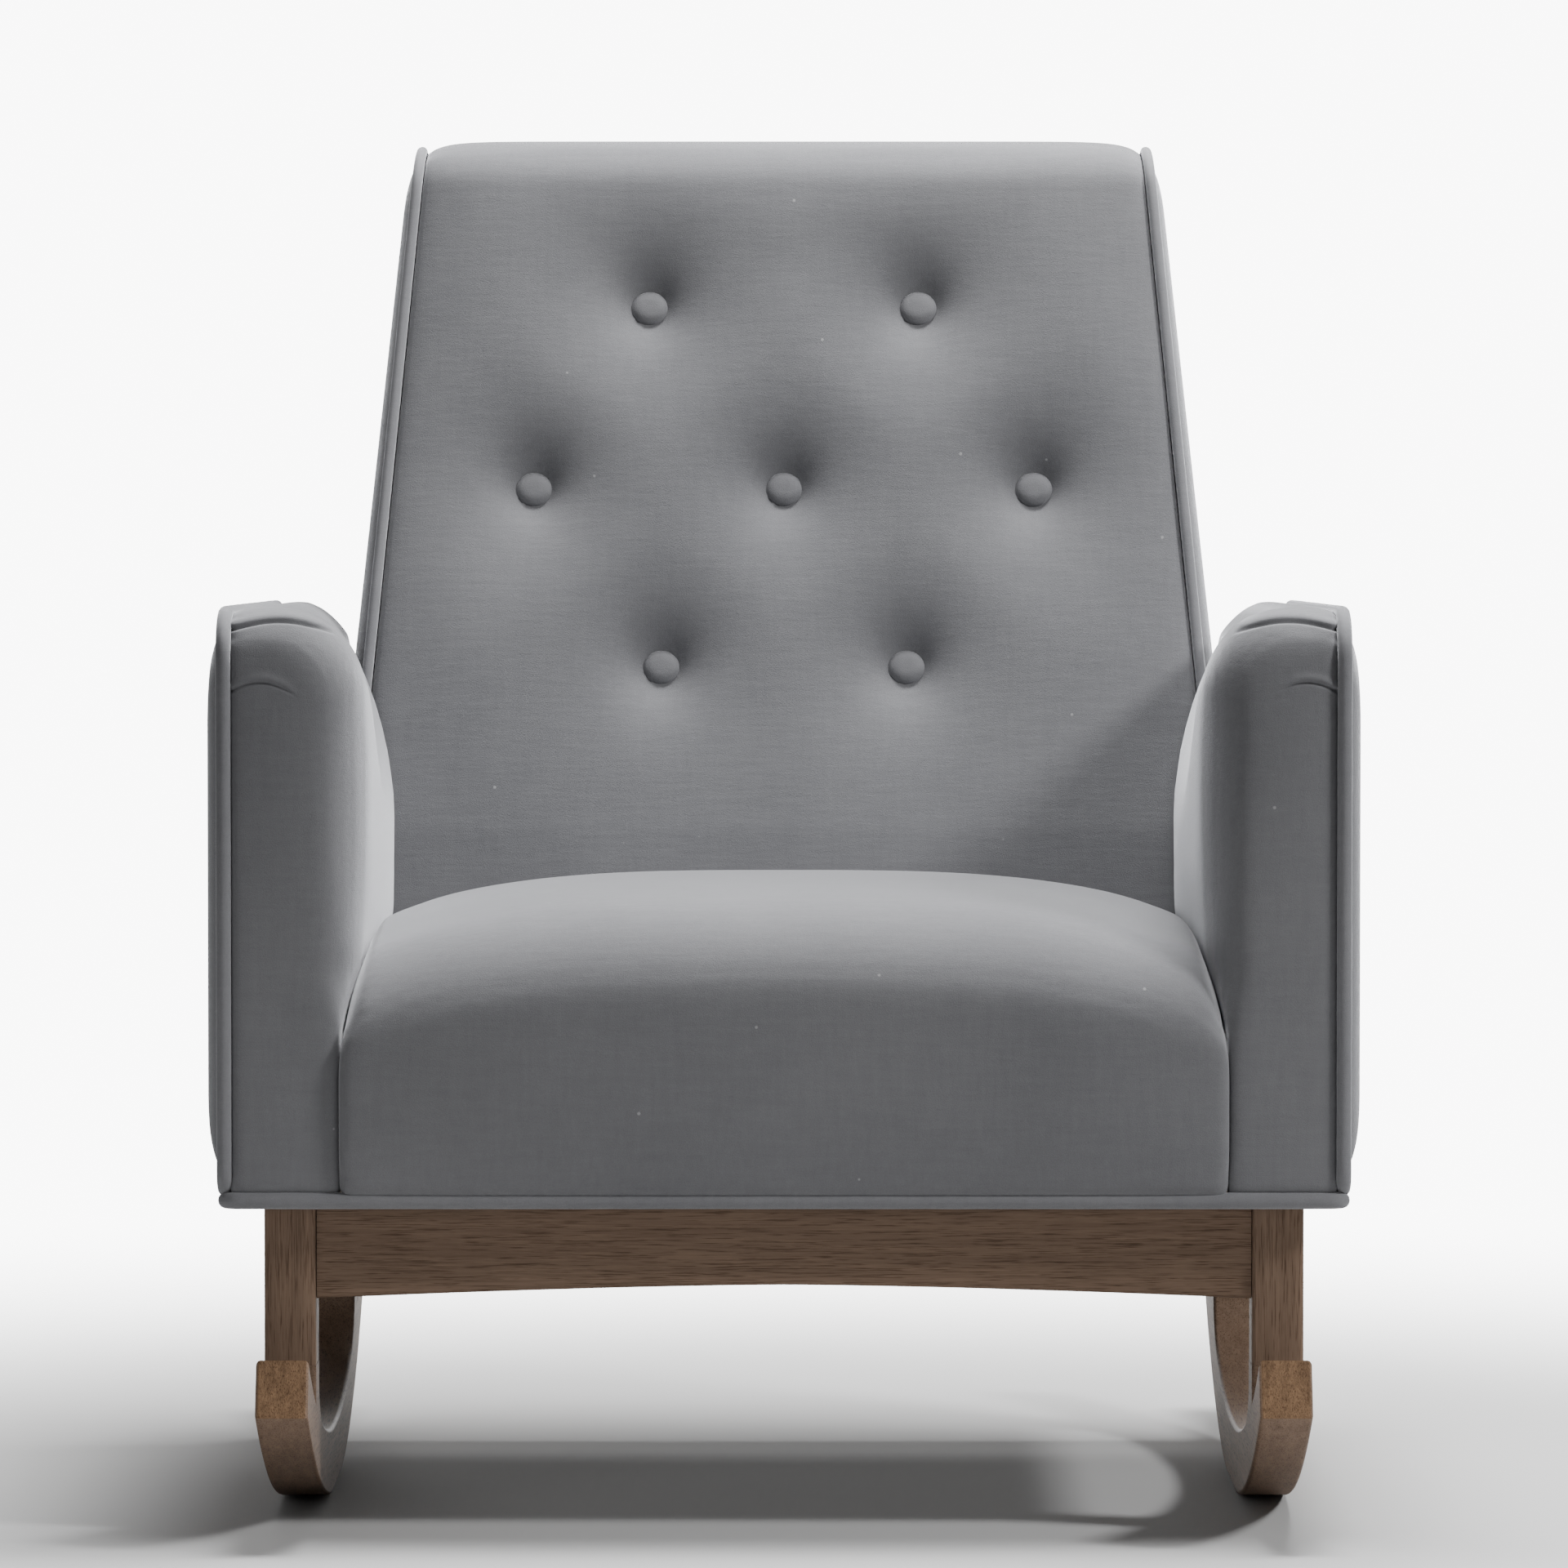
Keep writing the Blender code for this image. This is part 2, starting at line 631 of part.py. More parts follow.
def make_arm_panels():
    """The puffed outside panel of each arm, and the piping round it."""
    outline = rounded(arm_outline())
    for side, word in SIDES:
        base = side * (ARM_OUTER_X + GAP)
        pillow(
            f"arm_side_panel_{word}",
            inset(outline, PANEL_INSET),
            lambda point, x=base: x,
            side * PANEL_BULGE,
            FABRIC,
        )
        x = side * (ARM_OUTER_X + GAP + PIPING_R)
        path = [(x, y, z) for y, z in inset(outline, PIPING_R)]
        tube(f"arm_piping_{word}", path, PIPING_R, FABRIC, cyclic=True, sides=2)


def rounded(outline, radius=0.018):
    """The same outline with its two sharp lower corners cut short."""
    first, last = outline[0], outline[-1]
    lean = atan2(outline[-2][0] - last[0], outline[-2][1] - last[1])
    return (
        [(first[0] + radius, first[1]), (first[0] + radius * 0.3, first[1] + radius * 0.3)]
        + [(first[0], first[1] + radius)]
        + outline[1:-1]
        + [(last[0] + radius * sin(lean), last[1] + radius * cos(lean))]
        + [(last[0] - radius * 0.2, last[1] + radius * 0.3), (last[0] - radius, last[1])]
    )


# Back ------------------------------------------------------------------------------------------


def back_matrix():
    """From the back's own (X, v, u) to the world."""
    across = Vector((1, 0, 0))
    rearwards = Vector((0, cos(RECLINE), -sin(RECLINE)))
    up = Vector((0, sin(RECLINE), cos(RECLINE)))
    matrix = Matrix((across, rearwards, up)).transposed().to_4x4()
    matrix.translation = (0, BACK_Y, BACK_Z)
    return matrix


def back_half_width(u):
    return min(BACK_WIDTH_AT_SEAT - BACK_TAPER * u, BACK_MAX_X)


KNEE_U = (BACK_WIDTH_AT_SEAT - BACK_MAX_X) / BACK_TAPER


def back_front_view(margin=0.0, crown=BACK_CROWN):
    """The back seen square on: upright to the knee, then tapering to a crowned top."""
    low = -0.5
    top = BACK_TOP_U - margin
    half = back_half_width(top) - margin
    crest = []
    steps = 8
    for i in range(steps + 1):
        x = half - 2 * half * i / steps
        crest.append((x, top - crown * (x / half) ** 4))
    knee = back_half_width(KNEE_U) - margin
    return [(knee, low), (knee, KNEE_U)] + crest + [(-knee, KNEE_U), (-knee, low)]


def make_back_cushion(matrix):
    """Foam and inside cover: a front slab that rolls over the top rail."""
    roll = arc((BACK_ROLL, BACK_TOP_U - BACK_ROLL), (BACK_ROLL, BACK_ROLL), 180, 90, 6)
    under_wrap = BACK_TOP_U - WRAP_THICK
    outline = (
        [(0, BACK_HEM_U)]
        + roll
        + [(SKIN_V - GAP, BACK_TOP_U - 0.002), (SKIN_V - GAP, under_wrap)]
        + [(FOAM_THICK, under_wrap), (FOAM_THICK, BACK_HEM_U)]
    )
    half = back_half_width(0)
    cushion = prism("back_cushion", outline, 0, -half, half, FABRIC, matrix)
    use_boolean(cushion, prism_mesh("view", back_front_view(), 1, -0.2, 0.4), "INTERSECT")


def make_back_skin(matrix):
    """The outside back: a thin panel from the top roll to the bottom of the body."""
    hem = [u_at_height(v, COVER_Z) for v in (SKIN_V, BACK_THICK)]
    turn = arc((SKIN_V, BACK_TOP_U - 0.018), (BACK_THICK - SKIN_V, 0.014), 90, 0, 4)
    outline = [(SKIN_V, hem[0])] + turn + [(BACK_THICK, hem[1])]
    half = back_half_width(0)
    skin = prism("back_outer_panel", outline, 0, -half, half, FABRIC, matrix)
    use_boolean(skin, prism_mesh("view", back_front_view(), 1, -0.2, 0.4), "INTERSECT")


def u_at_height(v, z):
    """The u of the point with this v and this world height."""
    return (z - BACK_Z + v * sin(RECLINE)) / cos(RECLINE)


def make_back_frame(matrix):
    """Two tapering stiles, a top rail, a lower rail and three elastic webs."""
    foot = u_at_height(STILE_V[0], RAIL_TOP_Z) + 0.012
    stile_top = BACK_TOP_U - WRAP_THICK - 0.040
    for side, word in SIDES:
        outline = []
        for u in (foot, KNEE_U, stile_top):
            outline.append((side * (back_half_width(u) - STILE_MARGIN), u))
        for u in (stile_top, KNEE_U, foot):
            outline.append((side * (back_half_width(u) - STILE_MARGIN - STILE_WIDTH), u))
        prism(f"back_stile_{word}", outline, 1, *STILE_V, FRAME_WOOD, matrix)
    top_low, top_high = stile_top + GAP, BACK_TOP_U - WRAP_THICK - 0.009
    outline = [(-(back_half_width(top_low) - STILE_MARGIN), top_low)]
    outline += [(-(back_half_width(top_high) - STILE_MARGIN), top_high)]
    outline += [(-x, u) for x, u in outline[::-1]]
    prism("back_top_rail", outline, 1, *STILE_V, FRAME_WOOD, matrix)
    half = BACK_MAX_X - STILE_MARGIN - STILE_WIDTH - GAP
    low, high = (-half, STILE_V[0], foot), (half, STILE_V[1], foot + 0.045)
    box("back_lower_rail", low, high, FRAME_WOOD, matrix)
    for number, u in enumerate(WEB_U, 1):
        half = back_half_width(u + WEB_HEIGHT / 2) - STILE_MARGIN - 0.004
        low = (-half, WEB_V[0], u - WEB_HEIGHT / 2)
        box(f"back_webbing_{number}", low, (half, WEB_V[1], u + WEB_HEIGHT / 2), WEBBING, matrix)


def side_outline():
    """The back's side face as (v, u), from the hem round the top."""
    front = arc((BACK_ROLL, BACK_TOP_U - BACK_CROWN - BACK_ROLL), (BACK_ROLL, BACK_ROLL), 180, 90, 5)
    rear = arc((BACK_THICK - 0.018, BACK_TOP_U - BACK_CROWN - 0.020), (0.018, 0.018), 90, 0, 3)
    return [(0, BACK_HEM_U + 0.01)] + front + rear + [(BACK_THICK, BACK_HEM_U + 0.01)]


def make_back_sides(matrix):
    """The puffed strip on each side of the back, and the piping round its edge."""
    panel = inset(side_outline(), 0.0095)
    panel = panel[:1] + [(panel[0][0], KNEE_U)] + panel[1:-1] + [(panel[-1][0], KNEE_U)] + panel[-1:]
    for side, word in SIDES:
        pillow(
            f"back_side_panel_{word}",
            panel,
            lambda point, s=side: s * (back_half_width(point[1]) + GAP),
            side * SIDE_BULGE,
            FABRIC,
            matrix,
        )
        edge = inset(side_outline(), BACK_PIPING_R + 0.0004)
        edge = [edge[0], (edge[0][0], KNEE_U)] + edge[1:-1] + [(edge[-1][0], KNEE_U), edge[-1]]
        clear = BACK_PIPING_R + GAP
        path = [(side * (back_half_width(u) + clear), v, u) for v, u in edge]
        tube(f"back_piping_{word}", path, BACK_PIPING_R, FABRIC, matrix=matrix)


def make_buttons(matrix):
    """Covered buttons, domed, each on its own seat in the front of the back cushion."""
    rings = ((1.0, 0.0), (1.0, 0.25), (0.86, 0.66), (0.50, 0.93))
    sides = 14
    bm = bmesh.new()
    made = []
    for share, height in rings:
        ring = []
        for i in range(sides):
            a = 2 * pi * i / sides
            ring.append(
                bm.verts.new((BUTTON_R * share * cos(a), -BUTTON_H * height, BUTTON_R * share * sin(a)))
            )
        made.append(ring)
    for lower, upper in zip(made, made[1:]):
        for i in range(sides):
            j = (i + 1) % sides
            bm.faces.new((lower[i], lower[j], upper[j], upper[i]))
    bm.faces.new(made[0])
    crown = bm.verts.new((0, -BUTTON_H, 0))
    for i in range(sides):
        bm.faces.new((made[-1][i], made[-1][(i + 1) % sides], crown))
    mesh = mesh_of("button", bm)
    number = 0
    for height, places in BUTTON_ROWS:
        for x in places:
            number += 1
            u = u_at_height(-GAP, height)
            add(f"button_{number}", mesh, FABRIC, matrix @ Matrix.Translation((x, -GAP, u)))


def main():
    clear_scene()
    make_rockers()
    make_legs()
    make_aprons()
    make_corner_blocks()
    make_bolts()
    make_seat_frame()
    make_springs()
    make_seat_cushion()
    make_dust_cover()
    make_front_welt()
    make_arm_pads()
    make_arm_frames()
    make_arm_panels()
    matrix = back_matrix()
    make_back_cushion(matrix)
    make_back_skin(matrix)
    make_back_frame(matrix)
    make_back_sides(matrix)
    make_buttons(matrix)


main()
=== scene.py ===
"""The looks of the upholstered rocking chair: covers, piping, buttons, wood, studio and camera.

Every size is in metres, in the frame of the CAD model: +Z up, the sitter faces -Y.
"""

import json

from math import asin, cos, exp, hypot, pi, radians, sin

import bmesh
import bpy
import numpy as np
from mathutils import Matrix, Vector, noise

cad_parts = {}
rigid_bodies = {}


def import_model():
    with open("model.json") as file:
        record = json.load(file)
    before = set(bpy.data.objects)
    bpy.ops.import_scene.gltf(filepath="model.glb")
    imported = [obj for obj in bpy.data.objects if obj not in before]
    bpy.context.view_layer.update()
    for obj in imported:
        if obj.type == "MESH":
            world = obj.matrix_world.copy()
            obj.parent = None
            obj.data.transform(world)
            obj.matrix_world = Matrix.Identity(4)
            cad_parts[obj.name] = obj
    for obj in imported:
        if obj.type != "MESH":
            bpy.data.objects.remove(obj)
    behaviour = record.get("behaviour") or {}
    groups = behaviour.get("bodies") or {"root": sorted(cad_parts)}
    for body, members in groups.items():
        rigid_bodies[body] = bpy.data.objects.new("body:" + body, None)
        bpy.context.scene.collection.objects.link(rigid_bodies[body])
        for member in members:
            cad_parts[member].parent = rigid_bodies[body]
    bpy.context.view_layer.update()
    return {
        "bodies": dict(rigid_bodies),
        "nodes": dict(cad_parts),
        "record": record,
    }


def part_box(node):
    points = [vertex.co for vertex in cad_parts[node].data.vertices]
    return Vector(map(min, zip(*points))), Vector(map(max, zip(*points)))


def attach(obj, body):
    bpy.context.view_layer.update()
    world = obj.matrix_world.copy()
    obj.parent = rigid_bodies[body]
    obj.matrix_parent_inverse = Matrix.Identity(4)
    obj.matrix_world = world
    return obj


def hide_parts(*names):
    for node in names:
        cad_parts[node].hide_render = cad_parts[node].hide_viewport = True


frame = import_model()
SIDES = ((-1, "left"), (1, "right"))
BODY = list(frame["bodies"])[0]

# Sizes. Most are those of the CAD model; padded ones differ from it by a few millimetres.
TIP_Y = -0.425
CONTACT_Y = -0.035
FRONT_RADIUS = 0.895
REAR_RADIUS = 0.800
ROCKER_WIDTH = 0.034
TIP_THICK, MID_THICK, TAIL_THICK = 0.0395, 0.046, 0.038
FOOT_LIFT = 0.003
FRAME_X = 0.322
LEG_WIDTH = 0.0335
LEG_DEPTH = 0.042
FRONT_LEG_Y = -0.317
REAR_LEG_Y = 0.213
FRONT_JOINT_Z = 0.109
REAR_JOINT_Z = 0.117
FILLET = (0.045, 0.020)
BASE_TOP_Z = 0.215
APRON_MID_Z = 0.1613
APRON_ARCH = 0.0088
RAIL_THICK = 0.022  # of the aprons and the side rails
APRON_RECESS = 0.004
WOOD_EASE = 0.0028  # rounding of the edges of rockers and legs
RAIL_EASE = 0.003  # and of the rails
JOINT_GAP = 0.0004
COVER_Z = 0.2235
ARM_FRONT_Y = -0.330
ARM_OUTER_X = 0.3575
ARM_TOP_Z = 0.599
ARM_REAR_TOP_Z = 0.589
ARM_FRONT_RADIUS = 0.034
ARM_REAR_RADIUS = 0.030
ARM_PIPING_RISE = 0.0020  # top edge of the arm's side above the CAD's
ARM_PAD_RISE = 0.0030  # top of the arm pad above the CAD's
ARM_CROWN = 0.0016
ARM_INNER_X = 0.2884
ARM_FULLNESS = 0.0138  # how much further in the arm's inner face is above the seat
ARM_COVER_OUT = 0.0032  # the arm's cover reaches this far past the arm's outer side
CREASE_X = 0.3590  # the pleats start here, at the piping
HEM_DROP = 0.0040  # covers of arms and seat end this far below COVER_Z
PIPING_R = 0.0049
WELT_R = 0.0055
SEAT_FRONT_Y = -0.3365
SEAT_CROWN_Z = 0.4115
SEAT_UNDER_Z = 0.337
SEAT_CROWN = 0.0262  # fall of the seat's top from its middle to its side
SEAT_RIM = 0.026  # further fall right at the side
SEAT_ROLL = 0.064  # height of the seat's rolled front in the middle
SEAT_ROLL_REACH = 0.075  # its depth
SEAT_BULGE = 0.0065
SEAT_RISE = 0.0070  # gentle rise of the top behind the roll
RECLINE = radians(13)
BACK_Y = 0.180
BACK_Z = 0.397
BACK_THICK = 0.108
BACK_TOP_U = 0.5430
BACK_HEM_U = -0.062
BACK_WIDTH_AT_SEAT = 0.305
BACK_TAPER = 0.0908
BACK_MAX_X = 0.2935
BACK_ROLL = 0.035
WRAP_THICK = 0.025
FOAM_THICK = 0.040
SKIN_V = 0.1020
BACK_PIPING_R = 0.0038
BUTTON_R = 0.0134
BUTTON_RISE = 0.0062
BUTTON_V = 0.0125  # depth in the back at which the heights of the rows are given
DIMPLE = ((0.0052, 0.013), (0.0148, 0.031))  # depth and reach of the two parts of each dimple
WALL_GLOW = 9.0
CAMERA_AWAY = 5.8  # from the rocker tips
CAMERA_Z = 0.7355
CAMERA_TILT = 2.393  # degrees down
LENS, SENSOR = 208.8, 36  # millimetres
# Height of each row of buttons and their places across
BUTTON_ROWS = ((0.804, (-0.096, 0.096)), (0.675, (-0.178, 0.0, 0.178)), (0.549, (-0.087, 0.087)))


# Helpers ---------------------------------------------------------------------------------------


def link(name, data, *materials):
    obj = bpy.data.objects.new(name, data)
    bpy.context.scene.collection.objects.link(obj)
    for material in materials:
        data.materials.append(material)
    return obj


def smooth(mesh):
    mesh.polygons.foreach_set("use_smooth", [True] * len(mesh.polygons))


def mesh_from(name, verts, faces):
    mesh = bpy.data.meshes.new(name)
    mesh.from_pydata([tuple(v) for v in verts], [], faces)
    mesh.validate()
    bm = bmesh.new()
    bm.from_mesh(mesh)
    bmesh.ops.recalc_face_normals(bm, faces=bm.faces)
    bm.to_mesh(mesh)
    bm.free()
    smooth(mesh)
    return mesh


def loft(name, rings):
    """Closed rings of equal length joined in order, with flat ends."""
    count = len(rings[0])
    verts = [p for ring in rings for p in ring]
    faces = []
    for k in range(len(rings) - 1):
        for i in range(count):
            j = (i + 1) % count
            faces.append((k * count + i, k * count + j, (k + 1) * count + j, (k + 1) * count + i))
    faces.append(tuple(range(count)))
    faces.append(tuple((len(rings) - 1) * count + i for i in reversed(range(count))))
    return mesh_from(name, verts, faces)


def finished(obj, node):
    """The piece rides on the chair and stands in for this CAD node, which is hidden."""
    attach(obj, BODY)
    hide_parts(node)


def bake_modifiers(obj):
    """The object's mesh with its modifiers applied."""
    bpy.context.view_layer.update()
    graph = bpy.context.evaluated_depsgraph_get()
    mesh = bpy.data.meshes.new_from_object(obj.evaluated_get(graph))
    obj.modifiers.clear()
    obj.data = mesh
    smooth(mesh)


def coordinates(mesh):
    co = np.empty(len(mesh.vertices) * 3)
    mesh.vertices.foreach_get("co", co)
    return co.reshape(-1, 3)


def set_coordinates(mesh, co):
    mesh.vertices.foreach_set("co", co.ravel())
    mesh.update()


def vertex_normals(mesh):
    n = np.empty(len(mesh.vertices) * 3)
    mesh.vertex_normals.foreach_get("vector", n)
    return n.reshape(-1, 3)


def subdivide(obj):
    modifier = obj.modifiers.new("subdivide", "SUBSURF")
    modifier.levels = modifier.render_levels = 1
    bake_modifiers(obj)


def even_skin(obj, voxel, rounds):
    """An even, softly rounded skin over a closed shape."""
    modifier = obj.modifiers.new("skin", "REMESH")
    modifier.mode = "VOXEL"
    modifier.voxel_size = voxel
    bake_modifiers(obj)
    modifier = obj.modifiers.new("soft", "SMOOTH")
    modifier.factor = 0.5
    modifier.iterations = rounds
    bake_modifiers(obj)


def step(value, low, high):
    """0 below low, 1 above high, and a smooth rise between."""
    share = min(1.0, max(0.0, (value - low) / (high - low)))
    return share * share * (3 - 2 * share)


def rounding(distance, radius):
    """How far a rounded edge falls back at this distance from the end."""
    gap = radius - min(max(distance, 0.0), radius)
    return radius - (radius * radius - gap * gap) ** 0.5


def inflate(obj, pressure, cap, held, calm):
    """Blows the cover up like a filled cushion. held(x, y, z) says which of its points are sewn down.

    No point moves further than cap, and calm is how many rounds pull the small wrinkles taut.
    """
    before = coordinates(obj.data)
    scene = bpy.context.scene
    cloth = obj.modifiers.new("cloth", "CLOTH")
    settings = cloth.settings
    settings.quality = 5
    settings.mass = 0.3
    settings.tension_stiffness = settings.compression_stiffness = 15.0
    settings.shear_stiffness = 5
    settings.bending_stiffness = 0.6
    settings.air_damping = 2
    settings.use_pressure = True
    settings.uniform_pressure_force = pressure
    settings.effector_weights.gravity = 0
    cloth.collision_settings.use_collision = False
    cloth.collision_settings.use_self_collision = False
    sewn = held(*before.T)
    group = obj.vertex_groups.new(name="sewn")
    group.add([int(i) for i in np.where(sewn)[0]], 1.0, "REPLACE")
    settings.vertex_group_mass = group.name
    cloth.point_cache.frame_start = 1
    cloth.point_cache.frame_end = 20
    for number in range(1, 21):
        scene.frame_set(number)
    bake_modifiers(obj)
    move = coordinates(obj.data) - before
    length = np.linalg.norm(move, axis=1)
    move *= np.minimum(1.0, cap / np.maximum(length, 1e-9))[:, None]
    set_coordinates(obj.data, before + calmed(obj.data, move, calm, sewn))
    scene.frame_set(1)


def calmed(mesh, move, rounds, sewn):
    """The same movement with its small wrinkles pulled taut."""
    pairs = np.empty(len(mesh.edges) * 2, int)
    mesh.edges.foreach_get("vertices", pairs)
    a, b = pairs.reshape(-1, 2).T
    count = len(move)
    degree = np.bincount(np.concatenate((a, b)), minlength=count)[:, None]
    for _ in range(rounds):
        total = np.stack([
            np.bincount(a, move[b, i], count) + np.bincount(b, move[a, i], count) for i in range(3)
        ], axis=1)
        move = 0.5 * move + 0.5 * total / np.maximum(degree, 1)
        move[sewn] = 0.0
    return move


def fillet(outline, radii, steps=8):
    """A closed outline with each corner rounded by its own radius."""
    points = []
    count = len(outline)
    for i in range(count):
        here = Vector(outline[i])
        a = (Vector(outline[i - 1]) - here).normalized()
        b = (Vector(outline[(i + 1) % count]) - here).normalized()
        half = a.angle(b) / 2
        reach = radii[i] / np.tan(half)
        centre = here + (a + b).normalized() * radii[i] / sin(half)
        start, end = here + a * reach - centre, here + b * reach - centre
        turn = start.angle_signed(end)
        for k in range(steps + 1):
            angle = -turn * k / steps
            c, s = cos(angle), sin(angle)
            points.append((centre.x + c * start.x - s * start.y, centre.y + s * start.x + c * start.y))
    return points


def inset(outline, distance):
    """Each point moved inwards, square to the outline."""
    count = len(outline)
    area = sum(
        outline[i][0] * outline[(i + 1) % count][1] - outline[(i + 1) % count][0] * outline[i][1]
        for i in range(count)
    )
    turn = 1 if area > 0 else -1
    moved = []
    for i in range(count):
        ahead, behind = outline[(i + 1) % count], outline[i - 1]
        dx, dy = ahead[0] - behind[0], ahead[1] - behind[1]
        length = hypot(dx, dy) or 1.0
        here = outline[i]
        moved.append((here[0] - turn * dy / length * distance, here[1] + turn * dx / length * distance))
    return moved


def pipe(name, path, radius, material, closed=False, matrix=None, taper=False):
    """A covered cord along a path, with the slight unevenness of sewn fabric."""
    curve = bpy.data.curves.new(name, "CURVE")
    curve.dimensions = "3D"
    curve.bevel_depth = radius
    curve.bevel_resolution = 5
    curve.use_fill_caps = not closed
    spline = curve.splines.new("POLY")
    spline.points.add(len(path) - 1)
    spline.use_cyclic_u = closed
    for i, (point, co) in enumerate(zip(spline.points, path)):
        point.co = (*co, 1.0)
        point.radius = 1 + 0.03 * noise.noise(Vector(co) * 40)
        if taper and min(i, len(path) - 1 - i) < 2:
            point.radius = 0.45 + 0.3 * min(i, len(path) - 1 - i)
    obj = link(name, curve, material)
    if matrix is not None:
        obj.matrix_world = matrix
    return obj


def refine(path, step=0.006, closed=False):
    """More points along a polyline."""
    made = []
    pairs = list(zip(path, path[1:])) + ([(path[-1], path[0])] if closed else [])
    for a, b in pairs:
        a, b = Vector(a), Vector(b)
        parts = max(1, int((b - a).length / step))
        made += [tuple(a.lerp(b, i / parts)) for i in range(parts)]
    return made if closed else made + [tuple(path[-1])]


# Materials -------------------------------------------------------------------------------------


class Nodes:
    """A short way to write a node tree."""

    def __init__(self, name):
        self.material = bpy.data.materials.new(name)
        self.material.use_nodes = True
        self.tree = self.material.node_tree
        self.shader = self.tree.nodes["Principled BSDF"]
        self.place = self.add("ShaderNodeTexCoord").outputs["Object"]

    def plug(self, socket, value):
        """Another node's output or a plain value."""
        if isinstance(value, bpy.types.NodeSocket):
            self.tree.links.new(value, socket)
        else:
            socket.default_value = value

    def add(self, kind, links=(), **values):
        node = self.tree.nodes.new(kind)
        for key, value in values.items():
            setattr(node, key, value)
        for key, value in dict(links).items():
            self.plug(node.inputs[key], value)
        return node

    def noise(self, scale, detail=2.0, rough=0.5, stretch=(1, 1, 1), offset=(0, 0, 0)):
        mapped = self.add("ShaderNodeMapping", {"Vector": self.place, "Scale": stretch, "Location": offset})
        links = {"Vector": mapped.outputs[0], "Scale": scale, "Detail": detail, "Roughness": rough}
        return self.add("ShaderNodeTexNoise", links).outputs["Fac"]

    def ramp(self, fac, stops):
        node = self.add("ShaderNodeValToRGB", {"Fac": fac})
        elements = node.color_ramp.elements
        while len(elements) < len(stops):
            elements.new(0.5)
        for element, (place, colour) in zip(elements, stops):
            element.position = place
            element.color = colour if len(colour) == 4 else (*colour, 1)
        return node.outputs["Color"]

    def mix(self, fac, a, b, blend="MIX"):
        node = self.add("ShaderNodeMix", data_type="RGBA", blend_type=blend)
        for index, value in ((0, fac), (6, a), (7, b)):
            self.plug(node.inputs[index], value)
        return node.outputs[2]

    def math(self, operation, a, b=0.0):
        return self.add("ShaderNodeMath", {0: a, 1: b}, operation=operation).outputs[0]

    def remap(self, value, low, high):
        links = {"Value": value, "To Min": low, "To Max": high}
        return self.add("ShaderNodeMapRange", links).outputs[0]

    def bump(self, height, strength, distance, under=None):
        links = {"Height": height, "Strength": strength, "Distance": distance}
        if under is not None:
            links["Normal"] = under
        return self.add("ShaderNodeBump", links).outputs["Normal"]

    def finish(self, **links):
        for key, value in links.items():
            self.plug(self.shader.inputs[key.replace("_", " ")], value)
        return self.material


def velvet(name="velvet", shade=1.0):
    """Short dense grey pile: brushed patches, crossed streaks, a soft sheen and a few specks of lint."""
    n = Nodes(name)
    patches = n.noise(5.0, 3.0, 0.55)
    streaks = n.noise(220.0, 2.0, 0.6, stretch=(0.16, 1.0, 1.0))
    threads = n.noise(240.0, 2.0, 0.6, stretch=(1.0, 1.0, 0.14), offset=(3, 1, 2))
    pile = n.noise(1500.0, 2.0, 0.7)
    dark = (0.112 * shade, 0.113 * shade, 0.121 * shade, 1)
    light = (0.182 * shade, 0.183 * shade, 0.190 * shade, 1)
    tone = n.math("ADD", n.math("MULTIPLY", patches, 0.38), n.math("MULTIPLY", pile, 0.37))
    tone = n.math("ADD", tone, n.math("MULTIPLY", n.math("ADD", streaks, threads), 0.125))
    colour = n.ramp(tone, ((0.28, dark), (0.72, light)))
    specks = n.add("ShaderNodeTexVoronoi", {"Vector": n.place, "Scale": 26.0}).outputs["Distance"]
    lint = n.ramp(specks, ((0.022, (0.5, 0.5, 0.5)), (0.034, (0, 0, 0))))
    colour = n.mix(lint, colour, (0.42 * shade, 0.42 * shade, 0.42 * shade, 1))
    height = n.math("ADD", n.math("MULTIPLY", pile, 0.6), n.math("MULTIPLY", streaks, 0.4))
    normal = n.bump(n.noise(34.0, 2.0, 0.5), 0.10, 0.002)
    normal = n.bump(height, 0.65, 0.0006, under=normal)
    rough = n.remap(patches, 0.82, 0.95)
    return n.finish(
        Base_Color=colour, Roughness=rough, Normal=normal, Sheen_Weight=0.6, Sheen_Roughness=0.36,
        Sheen_Tint=(0.95, 0.96, 1.0, 1), Specular_IOR_Level=0.15,
    )


